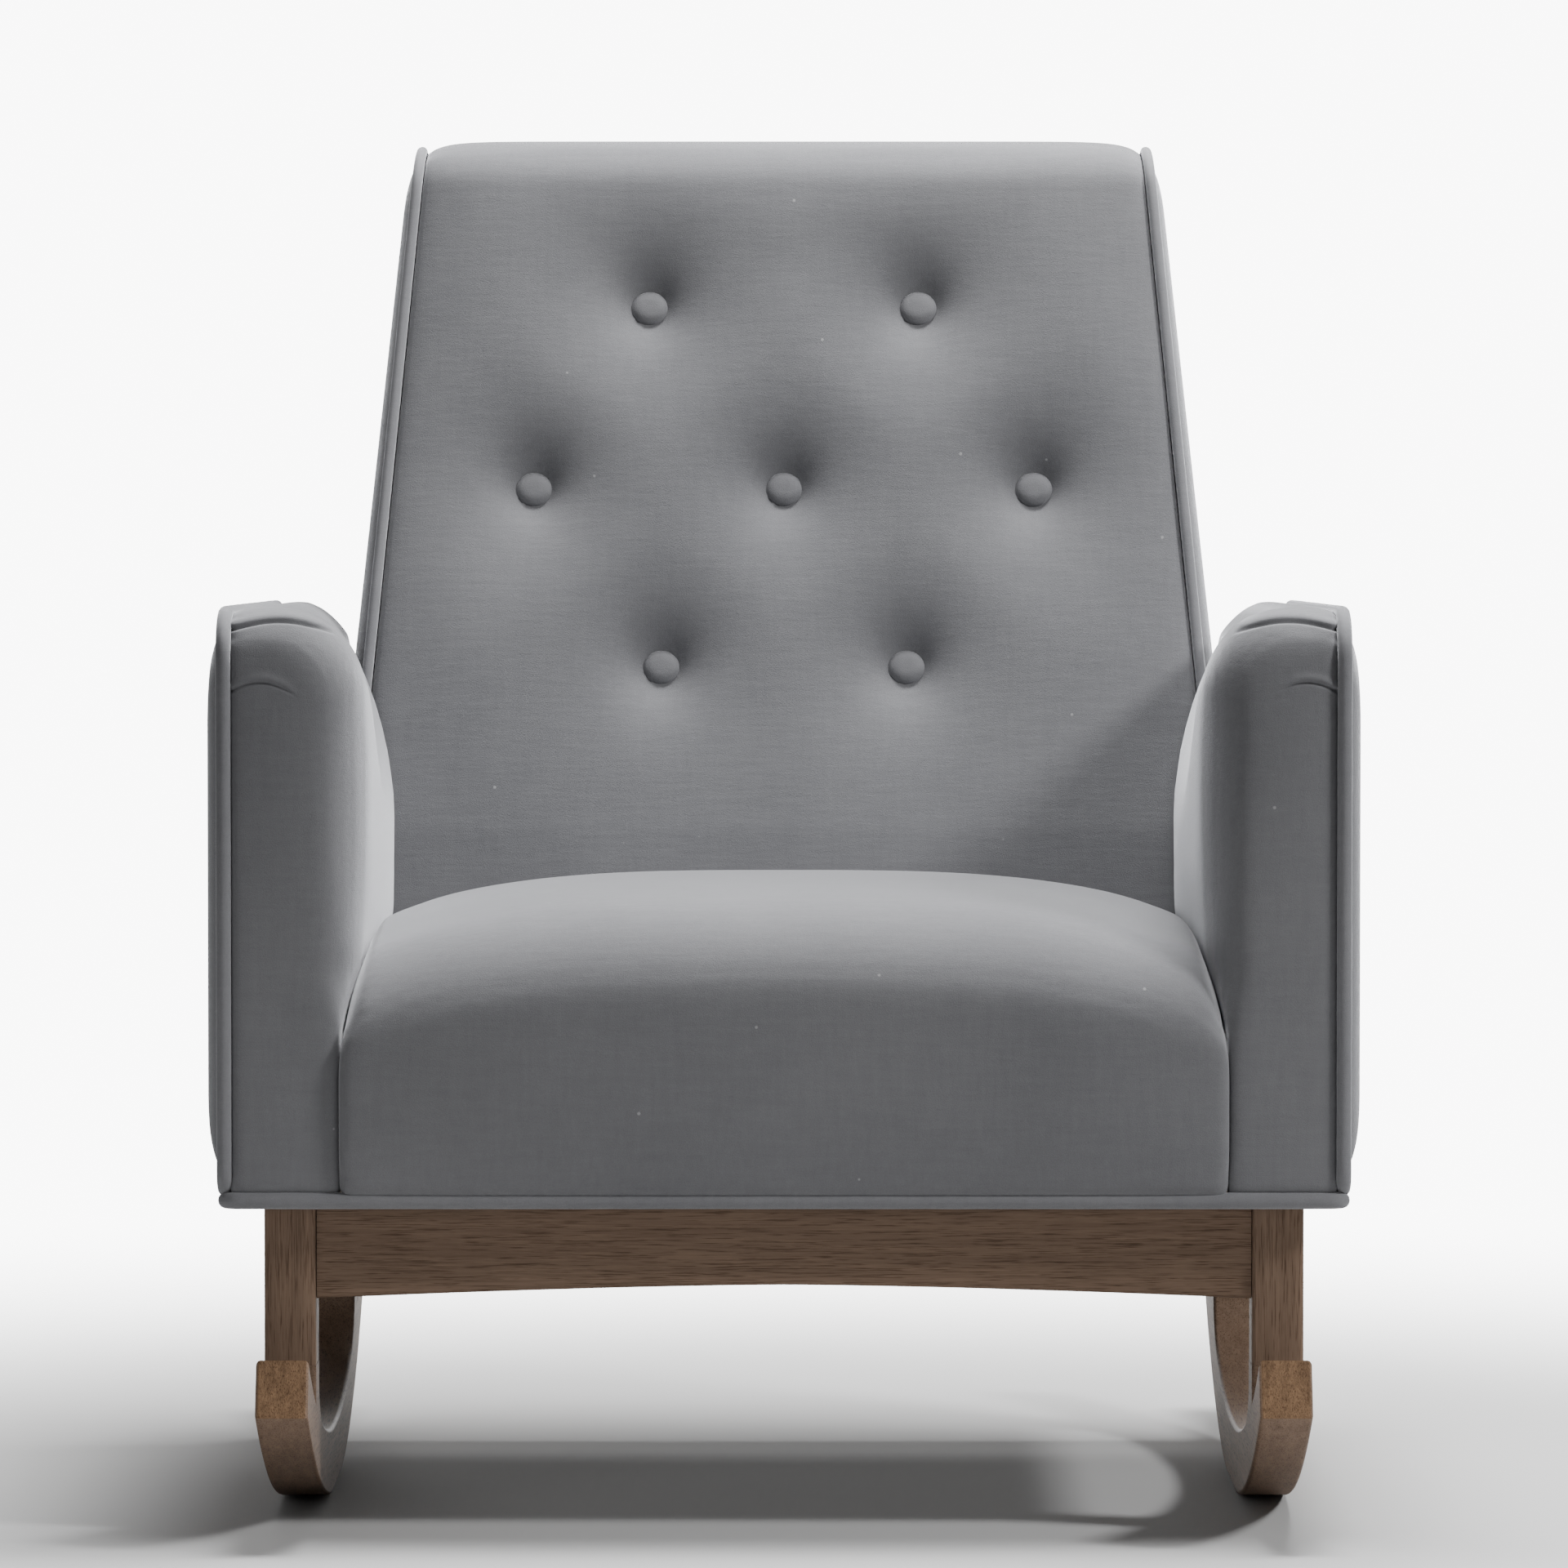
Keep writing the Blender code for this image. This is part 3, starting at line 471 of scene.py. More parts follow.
def walnut(name, axis, tint=(1, 1, 1), light=1.0, spread=1.0):
    """Stained hardwood with its grain along one axis (0, 1 or 2)."""
    n = Nodes(name)
    along = [1.0, 1.0, 1.0]
    along[axis] = 0.045
    fine = [1.0, 1.0, 1.0]
    fine[axis] = 0.030
    warp = n.noise(16.0, 2.0, 0.5, stretch=tuple(along))
    bands = n.noise(150.0, 4.0, 0.62, stretch=tuple(along))
    pores = n.noise(1500.0, 2.0, 0.55, stretch=tuple(fine), offset=(1, 2, 3))
    streak = n.noise(700.0, 3.0, 0.65, stretch=tuple(fine))
    colours = [(0.112, 0.074, 0.051), (0.165, 0.112, 0.079), (0.220, 0.150, 0.105)]
    stops = [tuple(c * t * light for c, t in zip(colour, tint)) for colour in colours]
    tone = n.math("ADD", n.math("MULTIPLY", bands, 0.5), n.math("MULTIPLY", streak, 0.5))
    colour = n.ramp(tone, ((0.5 - 0.2 / spread, stops[0]), (0.50, stops[1]), (0.5 + 0.2 / spread, stops[2])))
    dark = n.ramp(pores, ((0.34, (0.52, 0.48, 0.46)), (0.46, (1, 1, 1))))
    colour = n.mix(1.0, colour, dark, "MULTIPLY")
    colour = n.mix(n.remap(warp, 0.0, 0.5), colour, n.mix(1.0, colour, (0.86, 0.84, 0.82, 1), "MULTIPLY"))
    height = n.math("ADD", n.math("MULTIPLY", pores, 0.7), n.math("MULTIPLY", streak, 0.3))
    return n.finish(
        Base_Color=colour, Roughness=n.remap(streak, 0.52, 0.68), Normal=n.bump(height, 0.25, 0.0004),
        Specular_IOR_Level=0.10,
    )


def raw_wood():
    n = Nodes("frame_wood_grain")
    grain = n.noise(60.0, 4.0, 0.6, stretch=(0.06, 1, 1))
    colour = n.ramp(grain, ((0.3, (0.36, 0.24, 0.13)), (0.7, (0.56, 0.42, 0.26))))
    return n.finish(Base_Color=colour, Roughness=0.75, Normal=n.bump(grain, 0.2, 0.0006))


def steel():
    n = Nodes("wire_steel")
    wear = n.noise(120.0, 3.0, 0.6)
    colour = n.ramp(wear, ((0.3, (0.30, 0.30, 0.31)), (0.7, (0.52, 0.52, 0.53))))
    rough = n.remap(wear, 0.25, 0.5)
    return n.finish(Base_Color=colour, Roughness=rough, Metallic=1.0, Normal=n.bump(wear, 0.1, 0.0002))


def lining():
    """Thin black spun cloth."""
    n = Nodes("spun_lining")
    fibre = n.noise(900.0, 3.0, 0.7)
    warp = n.noise(500.0, 1.0, 0.5, stretch=(1, 0.1, 1))
    weft = n.noise(500.0, 1.0, 0.5, stretch=(0.1, 1, 1))
    weave = n.math("MULTIPLY", warp, weft)
    colour = n.ramp(fibre, ((0.3, (0.008, 0.008, 0.009)), (0.7, (0.030, 0.030, 0.032))))
    return n.finish(Base_Color=colour, Roughness=0.95, Normal=n.bump(weave, 0.5, 0.0006), Sheen_Weight=0.2)


def webbing():
    n = Nodes("woven_webbing")
    weft = n.noise(420.0, 1.0, 0.5, stretch=(0.15, 1, 1))
    warp = n.noise(420.0, 1.0, 0.5, stretch=(1, 1, 0.15))
    weave = n.math("ADD", weft, warp)
    colour = n.ramp(n.math("MULTIPLY", weave, 0.5), ((0.35, (0.40, 0.37, 0.32)), (0.65, (0.66, 0.63, 0.56))))
    return n.finish(Base_Color=colour, Roughness=0.9, Normal=n.bump(weave, 0.4, 0.0006))


VELVET = velvet()
# The piping, welts and buttons take the same velvet made 14% lighter: a painted highlight for the light these
# small rounded parts catch.
PIPING = velvet("velvet_piping", 1.14)
WALNUT = {axis: walnut(f"walnut_{'xyz'[axis]}", axis, light=1.08, spread=0.85) for axis in (0, 1, 2)}
WALNUT_END = walnut("walnut_end", 2, tint=(1.10, 0.98, 0.78), light=0.80, spread=1.6)


# Back ------------------------------------------------------------------------------------------


def back_matrix():
    across = Vector((1, 0, 0))
    rearwards = Vector((0, cos(RECLINE), -sin(RECLINE)))
    up = Vector((0, sin(RECLINE), cos(RECLINE)))
    matrix = Matrix((across, rearwards, up)).transposed().to_4x4()
    matrix.translation = (0, BACK_Y, BACK_Z)
    return matrix


BACK = back_matrix()


def u_at_height(v, z):
    return (z - BACK_Z + v * sin(RECLINE)) / cos(RECLINE)


def back_half_width(u):
    return min(BACK_WIDTH_AT_SEAT - BACK_TAPER * u, BACK_MAX_X)


def buttons():
    for height, places in BUTTON_ROWS:
        for x in places:
            yield x, u_at_height(BUTTON_V, height)


def dimple(x, u):
    """How far the buttons pull the front of the back in at this point."""
    depth = 0.0
    for bx, bu in buttons():
        dx, du = x - bx, u - bu
        r = hypot(dx, du * 0.92)
        away = max(r - BUTTON_R * 0.85, 0.0)
        depth += sum(deep * exp(-away / reach) for deep, reach in DIMPLE) ** 3
    return depth ** (1 / 3)


FRONT_ROWS, ROLL_ROWS = 118, 12


def back_section():
    """The back cover's side view as (v, u), closely spaced: hem, front, roll, top, and round underneath."""
    top = BACK_TOP_U
    rise = top - BACK_ROLL - BACK_HEM_U
    front = [(0.0, BACK_HEM_U + rise * i / FRONT_ROWS) for i in range(FRONT_ROWS)]
    roll = []
    for i in range(ROLL_ROWS + 1):
        a = radians(180 - 90 * i / ROLL_ROWS)
        roll.append((BACK_ROLL + BACK_ROLL * cos(a), top - BACK_ROLL + BACK_ROLL * sin(a)))
    over = [
        (BACK_ROLL + (SKIN_V - BACK_ROLL) * i / ROLL_ROWS, top - 0.002 * i / ROLL_ROWS)
        for i in range(1, ROLL_ROWS + 1)
    ]
    under = top - WRAP_THICK
    inner = [(SKIN_V, under), (FOAM_THICK, under), (FOAM_THICK, 0.25), (FOAM_THICK, BACK_HEM_U)]
    return front + roll + over + inner


def make_back_cover():
    """The inside back and its roll, pulled in by the buttons and sewn down along both sides."""
    section = back_section()
    columns = 129
    visible = FRONT_ROWS + 2 * ROLL_ROWS + 1
    rings = []
    for k in range(columns):
        s = -1 + 2 * k / (columns - 1)
        s = s * (1.06 - 0.06 * abs(s))
        s = max(-1.0, min(1.0, s))
        ring = []
        for i, (v, u) in enumerate(section):
            half = back_half_width(u) - 0.0006
            x = s * half
            edge = half - abs(x)
            if i < visible:
                a = section[max(i - 1, 0)]
                b = section[min(i + 1, visible - 1)]
                length = hypot(b[0] - a[0], b[1] - a[1])
                nv, nu = -(b[1] - a[1]) / length, (b[0] - a[0]) / length
                full = 0.0050 * (1 - exp(-edge / 0.016)) - 0.0028 * exp(-edge / 0.006)
                low = min(1.0, max(0.0, (u - BACK_HEM_U) / 0.10))
                swell = full * low
                if i < FRONT_ROWS + ROLL_ROWS / 2:
                    swell -= dimple(x, u)
                    swell += 0.0010 * noise.noise(Vector((x * 9, u * 9, 0.7)))
                else:
                    fall = (abs(x) / half) ** 16
                    swell -= 0.0010 * fall
                v, u = v + nv * swell, u + nu * swell
            ring.append((x, v, u))
        rings.append(ring)
    obj = link("back_cushion_cover", loft("back_cushion_cover", rings), VELVET)
    places = list(buttons())

    def held(x, v, u):
        edge = np.minimum(BACK_WIDTH_AT_SEAT - BACK_TAPER * u, BACK_MAX_X) - np.abs(x)
        tied = sum((np.hypot(x - bx, u - bu) < 0.016).astype(int) for bx, bu in places) > 0
        return tied | (edge < 0.006) | (v > 0.030) | (u < BACK_HEM_U + 0.02)

    inflate(obj, 2.0, 0.003, held, 25)
    obj.matrix_world = BACK
    finished(obj, "back_cushion")


def make_buttons():
    """Domed covered buttons that sit in their dimples."""
    steps, around = 12, 40
    for number, (x, u) in enumerate(buttons(), 1):
        base = dimple(x, u) - 0.0043
        rings = []
        for k in range(steps + 1):
            a = pi / 2 * k / steps
            reach = BUTTON_R * cos(a) ** 0.62 if k < steps else 0.0004
            height = BUTTON_RISE * sin(a)
            turns = [2 * pi * i / around for i in range(around)]
            rings.append([(x + reach * cos(t), base - height, u + 0.92 * reach * sin(t)) for t in turns])
        obj = link(f"covered_button_{number}", loft(f"covered_button_{number}", rings), PIPING)
        obj.matrix_world = BACK
        finished(obj, f"button_{number}")


def side_outline():
    front, rear = 0.0, BACK_THICK
    top = BACK_TOP_U - 0.001
    corners = [(front, BACK_HEM_U + 0.012), (front, top), (rear, top), (rear, BACK_HEM_U + 0.012)]
    return fillet(corners, (0.003, BACK_ROLL, 0.019, 0.003))


def make_back_sides():
    for side, word in SIDES:
        outline = refine_flat(side_outline(), 0.006)

        def place(v, u, rise, side=side):
            share = min(1.0, max(0.0, u / BACK_TOP_U))
            return side * (back_half_width(u) + rise * (1.22 - 0.30 * share)), v, u

        mesh = pillow(f"back_side_cover_{word}", inset(outline, 0.0020), place, 0.0150, 0.012, -0.0004)
        panel = link(f"back_side_cover_{word}", mesh, VELVET)
        panel.matrix_world = BACK
        finished(panel, f"back_side_panel_{word}")
        edge = refine_flat(inset(side_outline(), BACK_PIPING_R * 0.4), 0.008)
        low = BACK_HEM_U + 0.018
        start = next(i for i in range(len(edge)) if edge[i - 1][1] < low <= edge[i][1] and edge[i][0] < 0.02)
        path = [p for p in edge[start:] + edge[:start] if p[1] > low]
        path = [(side * (back_half_width(u) + BACK_PIPING_R + 0.0002), v, u) for v, u in path]
        welt = pipe(f"back_welt_{word}", refine(path, 0.008), BACK_PIPING_R, PIPING, matrix=BACK)
        finished(welt, f"back_piping_{word}")


def make_outer_back():
    """The outside back: a plain panel, barely swelled, with its lower edge turned under."""
    columns, rows = 61, 81
    hem = u_at_height(SKIN_V, COVER_Z)
    top = BACK_TOP_U
    grid = []
    for r in range(rows + 1):
        share = r / rows
        u = hem + (top - hem) * share
        half = back_half_width(u) - 0.0008
        row = []
        for c in range(columns + 1):
            s = -1 + 2 * c / columns
            x = s * half
            edge = min(half - abs(x), (u - hem), (top - u))
            v = BACK_THICK - 0.0045 + 0.0060 * (1 - exp(-edge / 0.012))
            v += 0.0025 * cos(pi * s / 2) * sin(pi * share)
            if top - u < 0.016:
                v -= 0.004 * (1 - (top - u) / 0.016) ** 2
            row.append((x, v, u))
        grid.append(row)
    verts = [p for row in grid for p in row]
    wide = columns + 1
    faces = []
    for r in range(rows):
        for c in range(columns):
            a = r * wide + c
            faces.append((a, a + 1, a + 1 + wide, a + wide))
    mesh = mesh_from("outer_back_cover", verts, faces)
    obj = link("outer_back_cover", mesh, VELVET)
    solid = obj.modifiers.new("thickness", "SOLIDIFY")
    solid.thickness = 0.004
    solid.offset = -1
    obj.matrix_world = BACK
    bm = bmesh.new()
    bm.from_mesh(mesh)
    bmesh.ops.recalc_face_normals(bm, faces=bm.faces)
    if sum(f.normal.y for f in bm.faces) < 0:
        bmesh.ops.reverse_faces(bm, faces=bm.faces)
    bm.to_mesh(mesh)
    bm.free()
    bake_modifiers(obj)
    finished(obj, "back_outer_panel")


# Arms ------------------------------------------------------------------------------------------


def arm_rear_y(z):
    v = BACK_THICK - 0.004
    y, height = BACK_Y + v * cos(RECLINE), BACK_Z - v * sin(RECLINE)
    return y + (z - height) * sin(RECLINE) / cos(RECLINE)


def arm_outline():
    corners = [
        (ARM_FRONT_Y, COVER_Z),
        (ARM_FRONT_Y, ARM_TOP_Z + ARM_PIPING_RISE),
        (arm_rear_y(ARM_REAR_TOP_Z), ARM_REAR_TOP_Z + ARM_PIPING_RISE),
        (arm_rear_y(COVER_Z), COVER_Z),
    ]
    return fillet(corners, (0.014, ARM_FRONT_RADIUS, ARM_REAR_RADIUS, 0.014), 10)


def arm_inner_x(z):
    """The inner face: tight to the seat low down, fuller above it."""
    return ARM_INNER_X - ARM_FULLNESS * step(z, 0.322, 0.384)


def back_front_y(z):
    return BACK_Y + (z - BACK_Z) * sin(RECLINE) / cos(RECLINE)


def arm_ring(side, along, behind):
    """A cross-section of the arm. along runs from its front to the back rest, behind from there on."""
    outer, low = ARM_OUTER_X + ARM_COVER_OUT, COVER_Z - HEM_DROP
    span = arm_rear_y(0.5) - ARM_FRONT_Y
    reach = back_front_y(0.5) - ARM_FRONT_Y
    share = (along * reach + behind * (span - reach)) / span
    front_gap = along * reach + behind
    rear_gap = (1 - behind) * (span - reach) + (1 - along) * reach
    top = ARM_TOP_Z + ARM_PAD_RISE + (ARM_REAR_TOP_Z - ARM_TOP_Z) * share
    top -= rounding(front_gap, ARM_FRONT_RADIUS) + rounding(rear_gap, ARM_REAR_RADIUS)
    depth = 0.048 + 0.105 * step(share, 0.0, 0.55)
    peak_x = 0.322 + 0.023 * step(share, 0.0, 0.5)
    power = 2 / (2.0 - 0.22 * step(share, 0.0, 0.5))
    peak = top + ARM_CROWN
    joint = peak - depth
    points = [(outer, low + (top - low) * i / 30) for i in range(31)]
    points += [(outer - (outer - peak_x) * i / 8, top + ARM_CROWN * sin(pi / 2 * i / 8)) for i in range(1, 9)]
    width = peak_x - arm_inner_x(joint)
    for i in range(1, 25):
        a = pi / 2 * i / 24
        points.append((peak_x - width * sin(a) ** power, joint + depth * max(cos(a), 0.0) ** power))
    for i in range(1, 31):
        z = joint + (low - joint) * i / 30
        points.append((arm_inner_x(z), z))
    ring = []
    for x, z in points:
        start, rest = back_front_y(z), arm_rear_y(z)
        y = ARM_FRONT_Y + (start - ARM_FRONT_Y) * along + (rest - start) * behind
        free = step(z, 0.315, 0.375)
        soft = 0.003 + 0.024 * free
        inward = (outer - x) / (outer - arm_inner_x(z))
        x += rounding((y - ARM_FRONT_Y) / (1 + 1.3 * free), soft) * max(0.0, inward)
        if behind > 0:
            x = max(x, 0.2925 + 0.0185 * step(z, 0.335, 0.365))
        ring.append((side * x, y, z))
    return ring


def crease(co, normals, side, centre_z, end_x, depth):
    """A folded pleat across the front of an arm, deepest at the piping and fading towards the inside."""
    x = side * co[:, 0]
    share = np.clip((CREASE_X - x) / (CREASE_X - end_x), 0, 1)
    line = centre_z + 0.0062 * np.sin(share * pi) - 0.0035 * share**2
    gap = co[:, 2] - line
    fade = np.clip((x - end_x) / 0.020, 0, 1) ** 0.7
    near = np.clip((ARM_FRONT_Y + 0.040 - co[:, 1]) / 0.01, 0, 1)
    valley = np.exp(-((gap / 0.0012) ** 2))
    lip = np.where(gap > 0, np.exp(-(((gap - 0.0030) / 0.0032) ** 2)), 0.25 * np.exp(-((gap / 0.004) ** 2)))
    offset = depth * (0.7 * lip - valley) * fade * near
    return co + normals * offset[:, None]


def finer_front(obj):
    """More detail where the pleats are."""
    bm = bmesh.new()
    bm.from_mesh(obj.data)
    for _ in range(2):
        edges = [
            e for e in bm.edges
            if all(v.co.y < ARM_FRONT_Y + 0.026 and v.co.z > 0.538 for v in e.verts)
        ]
        bmesh.ops.subdivide_edges(bm, edges=edges, cuts=1, use_grid_fill=True, smooth=0.0)
    bmesh.ops.triangulate(bm, faces=[f for f in bm.faces if len(f.verts) > 4])
    bm.to_mesh(obj.data)
    bm.free()
    smooth(obj.data)


def make_arm_pad(side, word):
    places = [0.0, 0.0015, 0.006, 0.013, 0.022, 0.034, 0.048, 0.064, 0.080]
    places += [0.1 + 0.9 * i / 24 for i in range(25)]
    rings = [arm_ring(side, along, 0.0) for along in places]
    rings += [arm_ring(side, 1.0, 0.001 + 0.999 * i / 8) for i in range(9)]
    pad = link(f"arm_cover_{word}", loft(f"arm_cover_{word}", rings))
    even_skin(pad, 0.0046, 5)

    def sewn(x, y, z):
        outer = side * x > ARM_OUTER_X - 0.006
        at_seat = (z < 0.345) & (side * x < 0.300)
        return outer | at_seat | (z < COVER_Z + 0.006) | (y > BACK_Y - 0.02)

    inflate(pad, 2.5, 0.004, sewn, 80)
    subdivide(pad)
    finer_front(pad)
    for height, end_x, depth in ((0.5890, 0.2900, 0.0020), (0.5495, 0.3160, 0.0015)):
        co = crease(coordinates(pad.data), vertex_normals(pad.data), side, height, end_x, depth)
        set_coordinates(pad.data, co)
    pad.data.materials.append(VELVET)
    finished(pad, f"arm_pad_{word}")


def pillow(name, outline, place, full, reach, depth):
    """A stuffed panel: rings that close in on its middle line and rise. place(a, b, rise) is the point."""
    low = [min(p[i] for p in outline) for i in (0, 1)]
    high = [max(p[i] for p in outline) for i in (0, 1)]
    half = min(high[0] - low[0], high[1] - low[1]) / 2
    spine = [
        tuple(min(max(p[i], low[i] + half), high[i] - half) for i in (0, 1))
        for p in outline
    ]
    rings = [[place(a, b, -depth) for a, b in outline]]
    steps = 28
    for k in range(steps):
        share = 0.97 * (k / (steps - 1)) ** 1.6
        rise = full * (1 - exp(-share * half / reach)) / (1 - exp(-half / reach))
        rings.append([
            place(a + (c - a) * share, b + (d - b) * share, rise) for (a, b), (c, d) in zip(outline, spine)
        ])
    return loft(name, rings)


def make_arm_panel(side, word):
    outline = inset(refine_flat(arm_outline(), 0.006), 0.0035)

    def place(y, z, rise):
        return side * (ARM_OUTER_X + 0.0022 + rise), y, z

    mesh = pillow(f"arm_side_cover_{word}", outline, place, 0.0190, 0.018, 0.0015)
    panel = link(f"arm_side_cover_{word}", mesh, VELVET)
    finished(panel, f"arm_side_panel_{word}")


def refine_flat(path, step):
    return [(p[0], p[1]) for p in refine([(q[0], q[1], 0.0) for q in path], step, closed=True)]


def make_arms():
    outline = arm_outline()
    for side, word in SIDES:
        make_arm_pad(side, word)
        make_arm_panel(side, word)
        x = side * (ARM_OUTER_X + 0.0016 + PIPING_R)
        path = [(x, y, z) for y, z in refine_flat(inset(outline, PIPING_R - 0.0036), 0.008)]
        welt = pipe(f"arm_welt_{word}", path, PIPING_R, PIPING, closed=True)
        finished(welt, f"arm_piping_{word}")


# Seat ------------------------------------------------------------------------------------------


def seat_half(z):
    """Half the seat's width: sewn to the arms low down, free of them above."""
    return 0.2896 - 0.0045 * step(z, 0.318, 0.334) - 0.0045 * step(z, 0.330, 0.385)


def seat_ring(share_x):
    """The seat's section, front to rear and back below. share_x is 0 in the middle and 1 at the side."""
    front_y, rear_y, low = SEAT_FRONT_Y, BACK_Y + 0.0035, COVER_Z - HEM_DROP
    across = abs(share_x)
    crown = SEAT_CROWN * (across * 0.2865 / 0.2704) ** 3.2
    rim = SEAT_RIM * max(0.0, (across - 0.966) / 0.034) ** 2
    top = SEAT_CROWN_Z - crown - rim
    roll, reach = SEAT_ROLL + 0.004 * across, SEAT_ROLL_REACH
    bulge = SEAT_BULGE * (1 - across**6)
    points = []
    for i in range(22):
        share = i / 22
        y = front_y + 0.003 - (bulge + 0.003) * sin(pi / 2 * min(1.0, share * 1.5))
        points.append((y, low + (top - roll - low) * share))
    for i in range(19):
        a = radians(180 - 84 * i / 18)
        points.append((front_y - bulge + reach * (1 + cos(a)), top - roll + roll * sin(a)))
    start = front_y - bulge + reach * (1 + cos(radians(96)))
    for i in range(1, 41):
        share = i / 40
        rise = SEAT_RISE * sin(2 * pi * share) if share < 0.25 else SEAT_RISE - 0.038 * (share - 0.25) ** 2
        points.append((start + (rear_y - start) * share, top + rise))
    end = points[-1][1]
    points += [(rear_y - 0.014 * i / 7, end - (end - SEAT_UNDER_Z) * i / 7) for i in range(1, 8)]
    points += [(-0.235, SEAT_UNDER_Z), (-0.300, 0.314), (-0.304, 0.262), (-0.304, low)]
    return [(share_x * seat_half(z), y, z) for y, z in points]


def make_seat():
    """The seat cover: crowned across, rolled at the front, and drawn down in front to the welt."""
    columns = 97
    places = [-1 + 2 * k / (columns - 1) for k in range(columns)]
    rings = [seat_ring(0.25 * sin(t * pi / 2) + 0.75 * t) for t in places]
    obj = link("seat_cover", loft("seat_cover", rings))
    even_skin(obj, 0.0050, 3)

    def held(x, y, z):
        side = (np.abs(x) > 0.2835) & (z < 0.330)
        return (z < COVER_Z + 0.008) | side | (y > BACK_Y - 0.006) | ((z < 0.342) & (y > -0.31))

    inflate(obj, 3.0, 0.0025, held, 80)
    subdivide(obj)
    obj.data.materials.append(VELVET)
    finished(obj, "seat_cushion")


def make_front_welt():
    half = ARM_OUTER_X + 0.0075
    y = ARM_FRONT_Y + 0.002
    z = COVER_Z - WELT_R - 0.0002
    bend, turn = [], 0.010
    for i in range(9):
        a = radians(90 * i / 8)
        bend.append((half - 0.011 + turn * sin(a), y + turn * (1 - cos(a)), z))
    left = [(-p[0], p[1], p[2]) for p in reversed(bend)]
    middle = refine([left[-1], bend[0]], 0.02)[1:-1]
    obj = pipe("front_welt_cover", left + middle + bend, WELT_R, PIPING, taper=True)
    finished(obj, "front_welt")


# Wood ------------------------------------------------------------------------------------------


def rocker_thick(angle):
    front, tail = rocker_ends()
    if angle < 0:
        return MID_THICK + (TIP_THICK - MID_THICK) * angle / front
    return MID_THICK + (TAIL_THICK - MID_THICK) * angle / tail


def rocker_ends():
    return -asin((CONTACT_Y - TIP_Y) / FRONT_RADIUS), asin((-TIP_Y - CONTACT_Y) / REAR_RADIUS)


def rocker_point(angle, offset=0.0):
    radius = FRONT_RADIUS if angle < 0 else REAR_RADIUS
    z = radius - FOOT_LIFT - (radius - offset) * cos(angle)
    if offset == 0.0:
        z = max(z, 0.0)
    return CONTACT_Y + (radius - offset) * sin(angle), z


def rocker_angles():
    front, tail = rocker_ends()
    return [front + (tail - front) * i / 72 for i in range(73)]


def top_height(y):
    points = [rocker_point(a, rocker_thick(a)) for a in rocker_angles()]
    for a, b in zip(points, points[1:]):
        if a[0] <= y <= b[0]:
            return a[1] + (b[1] - a[1]) * (y - a[0]) / (b[0] - a[0])
    return points[-1][1]


def boss(y, direction):
    length, rise = FILLET
    points = []
    for i in range(13):
        share = cos(pi / 2 * i / 12)
        at = y + direction * length * (1 - share)
        points.append((at, top_height(at) + rise * (1 - sin(pi / 2 * i / 12))))
    return points


def eased_prism(name, outline, along, low, high, width, skip, material):
    """An extruded outline with its long edges eased, except where skip(a, b) says a joint is."""
    bm = bmesh.new()
    weight = bm.edges.layers.float.new("bevel_weight_edge")

    def vert(point, level):
        co = list(point)
        co.insert(along, level)
        return bm.verts.new(co)

    ends = [[vert(p, level) for p in outline] for level in (low, high)]
    count = len(outline)
    for i in range(count):
        j = (i + 1) % count
        bm.faces.new((ends[0][i], ends[0][j], ends[1][j], ends[1][i]))
    bm.faces.new(ends[0])
    bm.faces.new(ends[1][::-1])
    bmesh.ops.recalc_face_normals(bm, faces=bm.faces)
    for i in range(count):
        j = (i + 1) % count
        if not skip(outline[i], outline[j]):
            for end in ends:
                bm.edges.get((end[i], end[j]))[weight] = 1.0
    mesh = bpy.data.meshes.new(name)
    bm.to_mesh(mesh)
    bm.free()
    obj = link(name, mesh, material)
    bevel = obj.modifiers.new("ease", "BEVEL")
    bevel.width = width
    bevel.segments = 3
    bevel.limit_method = "WEIGHT"
    bake_modifiers(obj)
    mesh = obj.data
    modifier = obj.modifiers.new("shade", "WEIGHTED_NORMAL")
    modifier.keep_sharp = True
    mesh.shade_smooth()
    mesh.set_sharp_from_angle(angle=radians(32))
    return obj


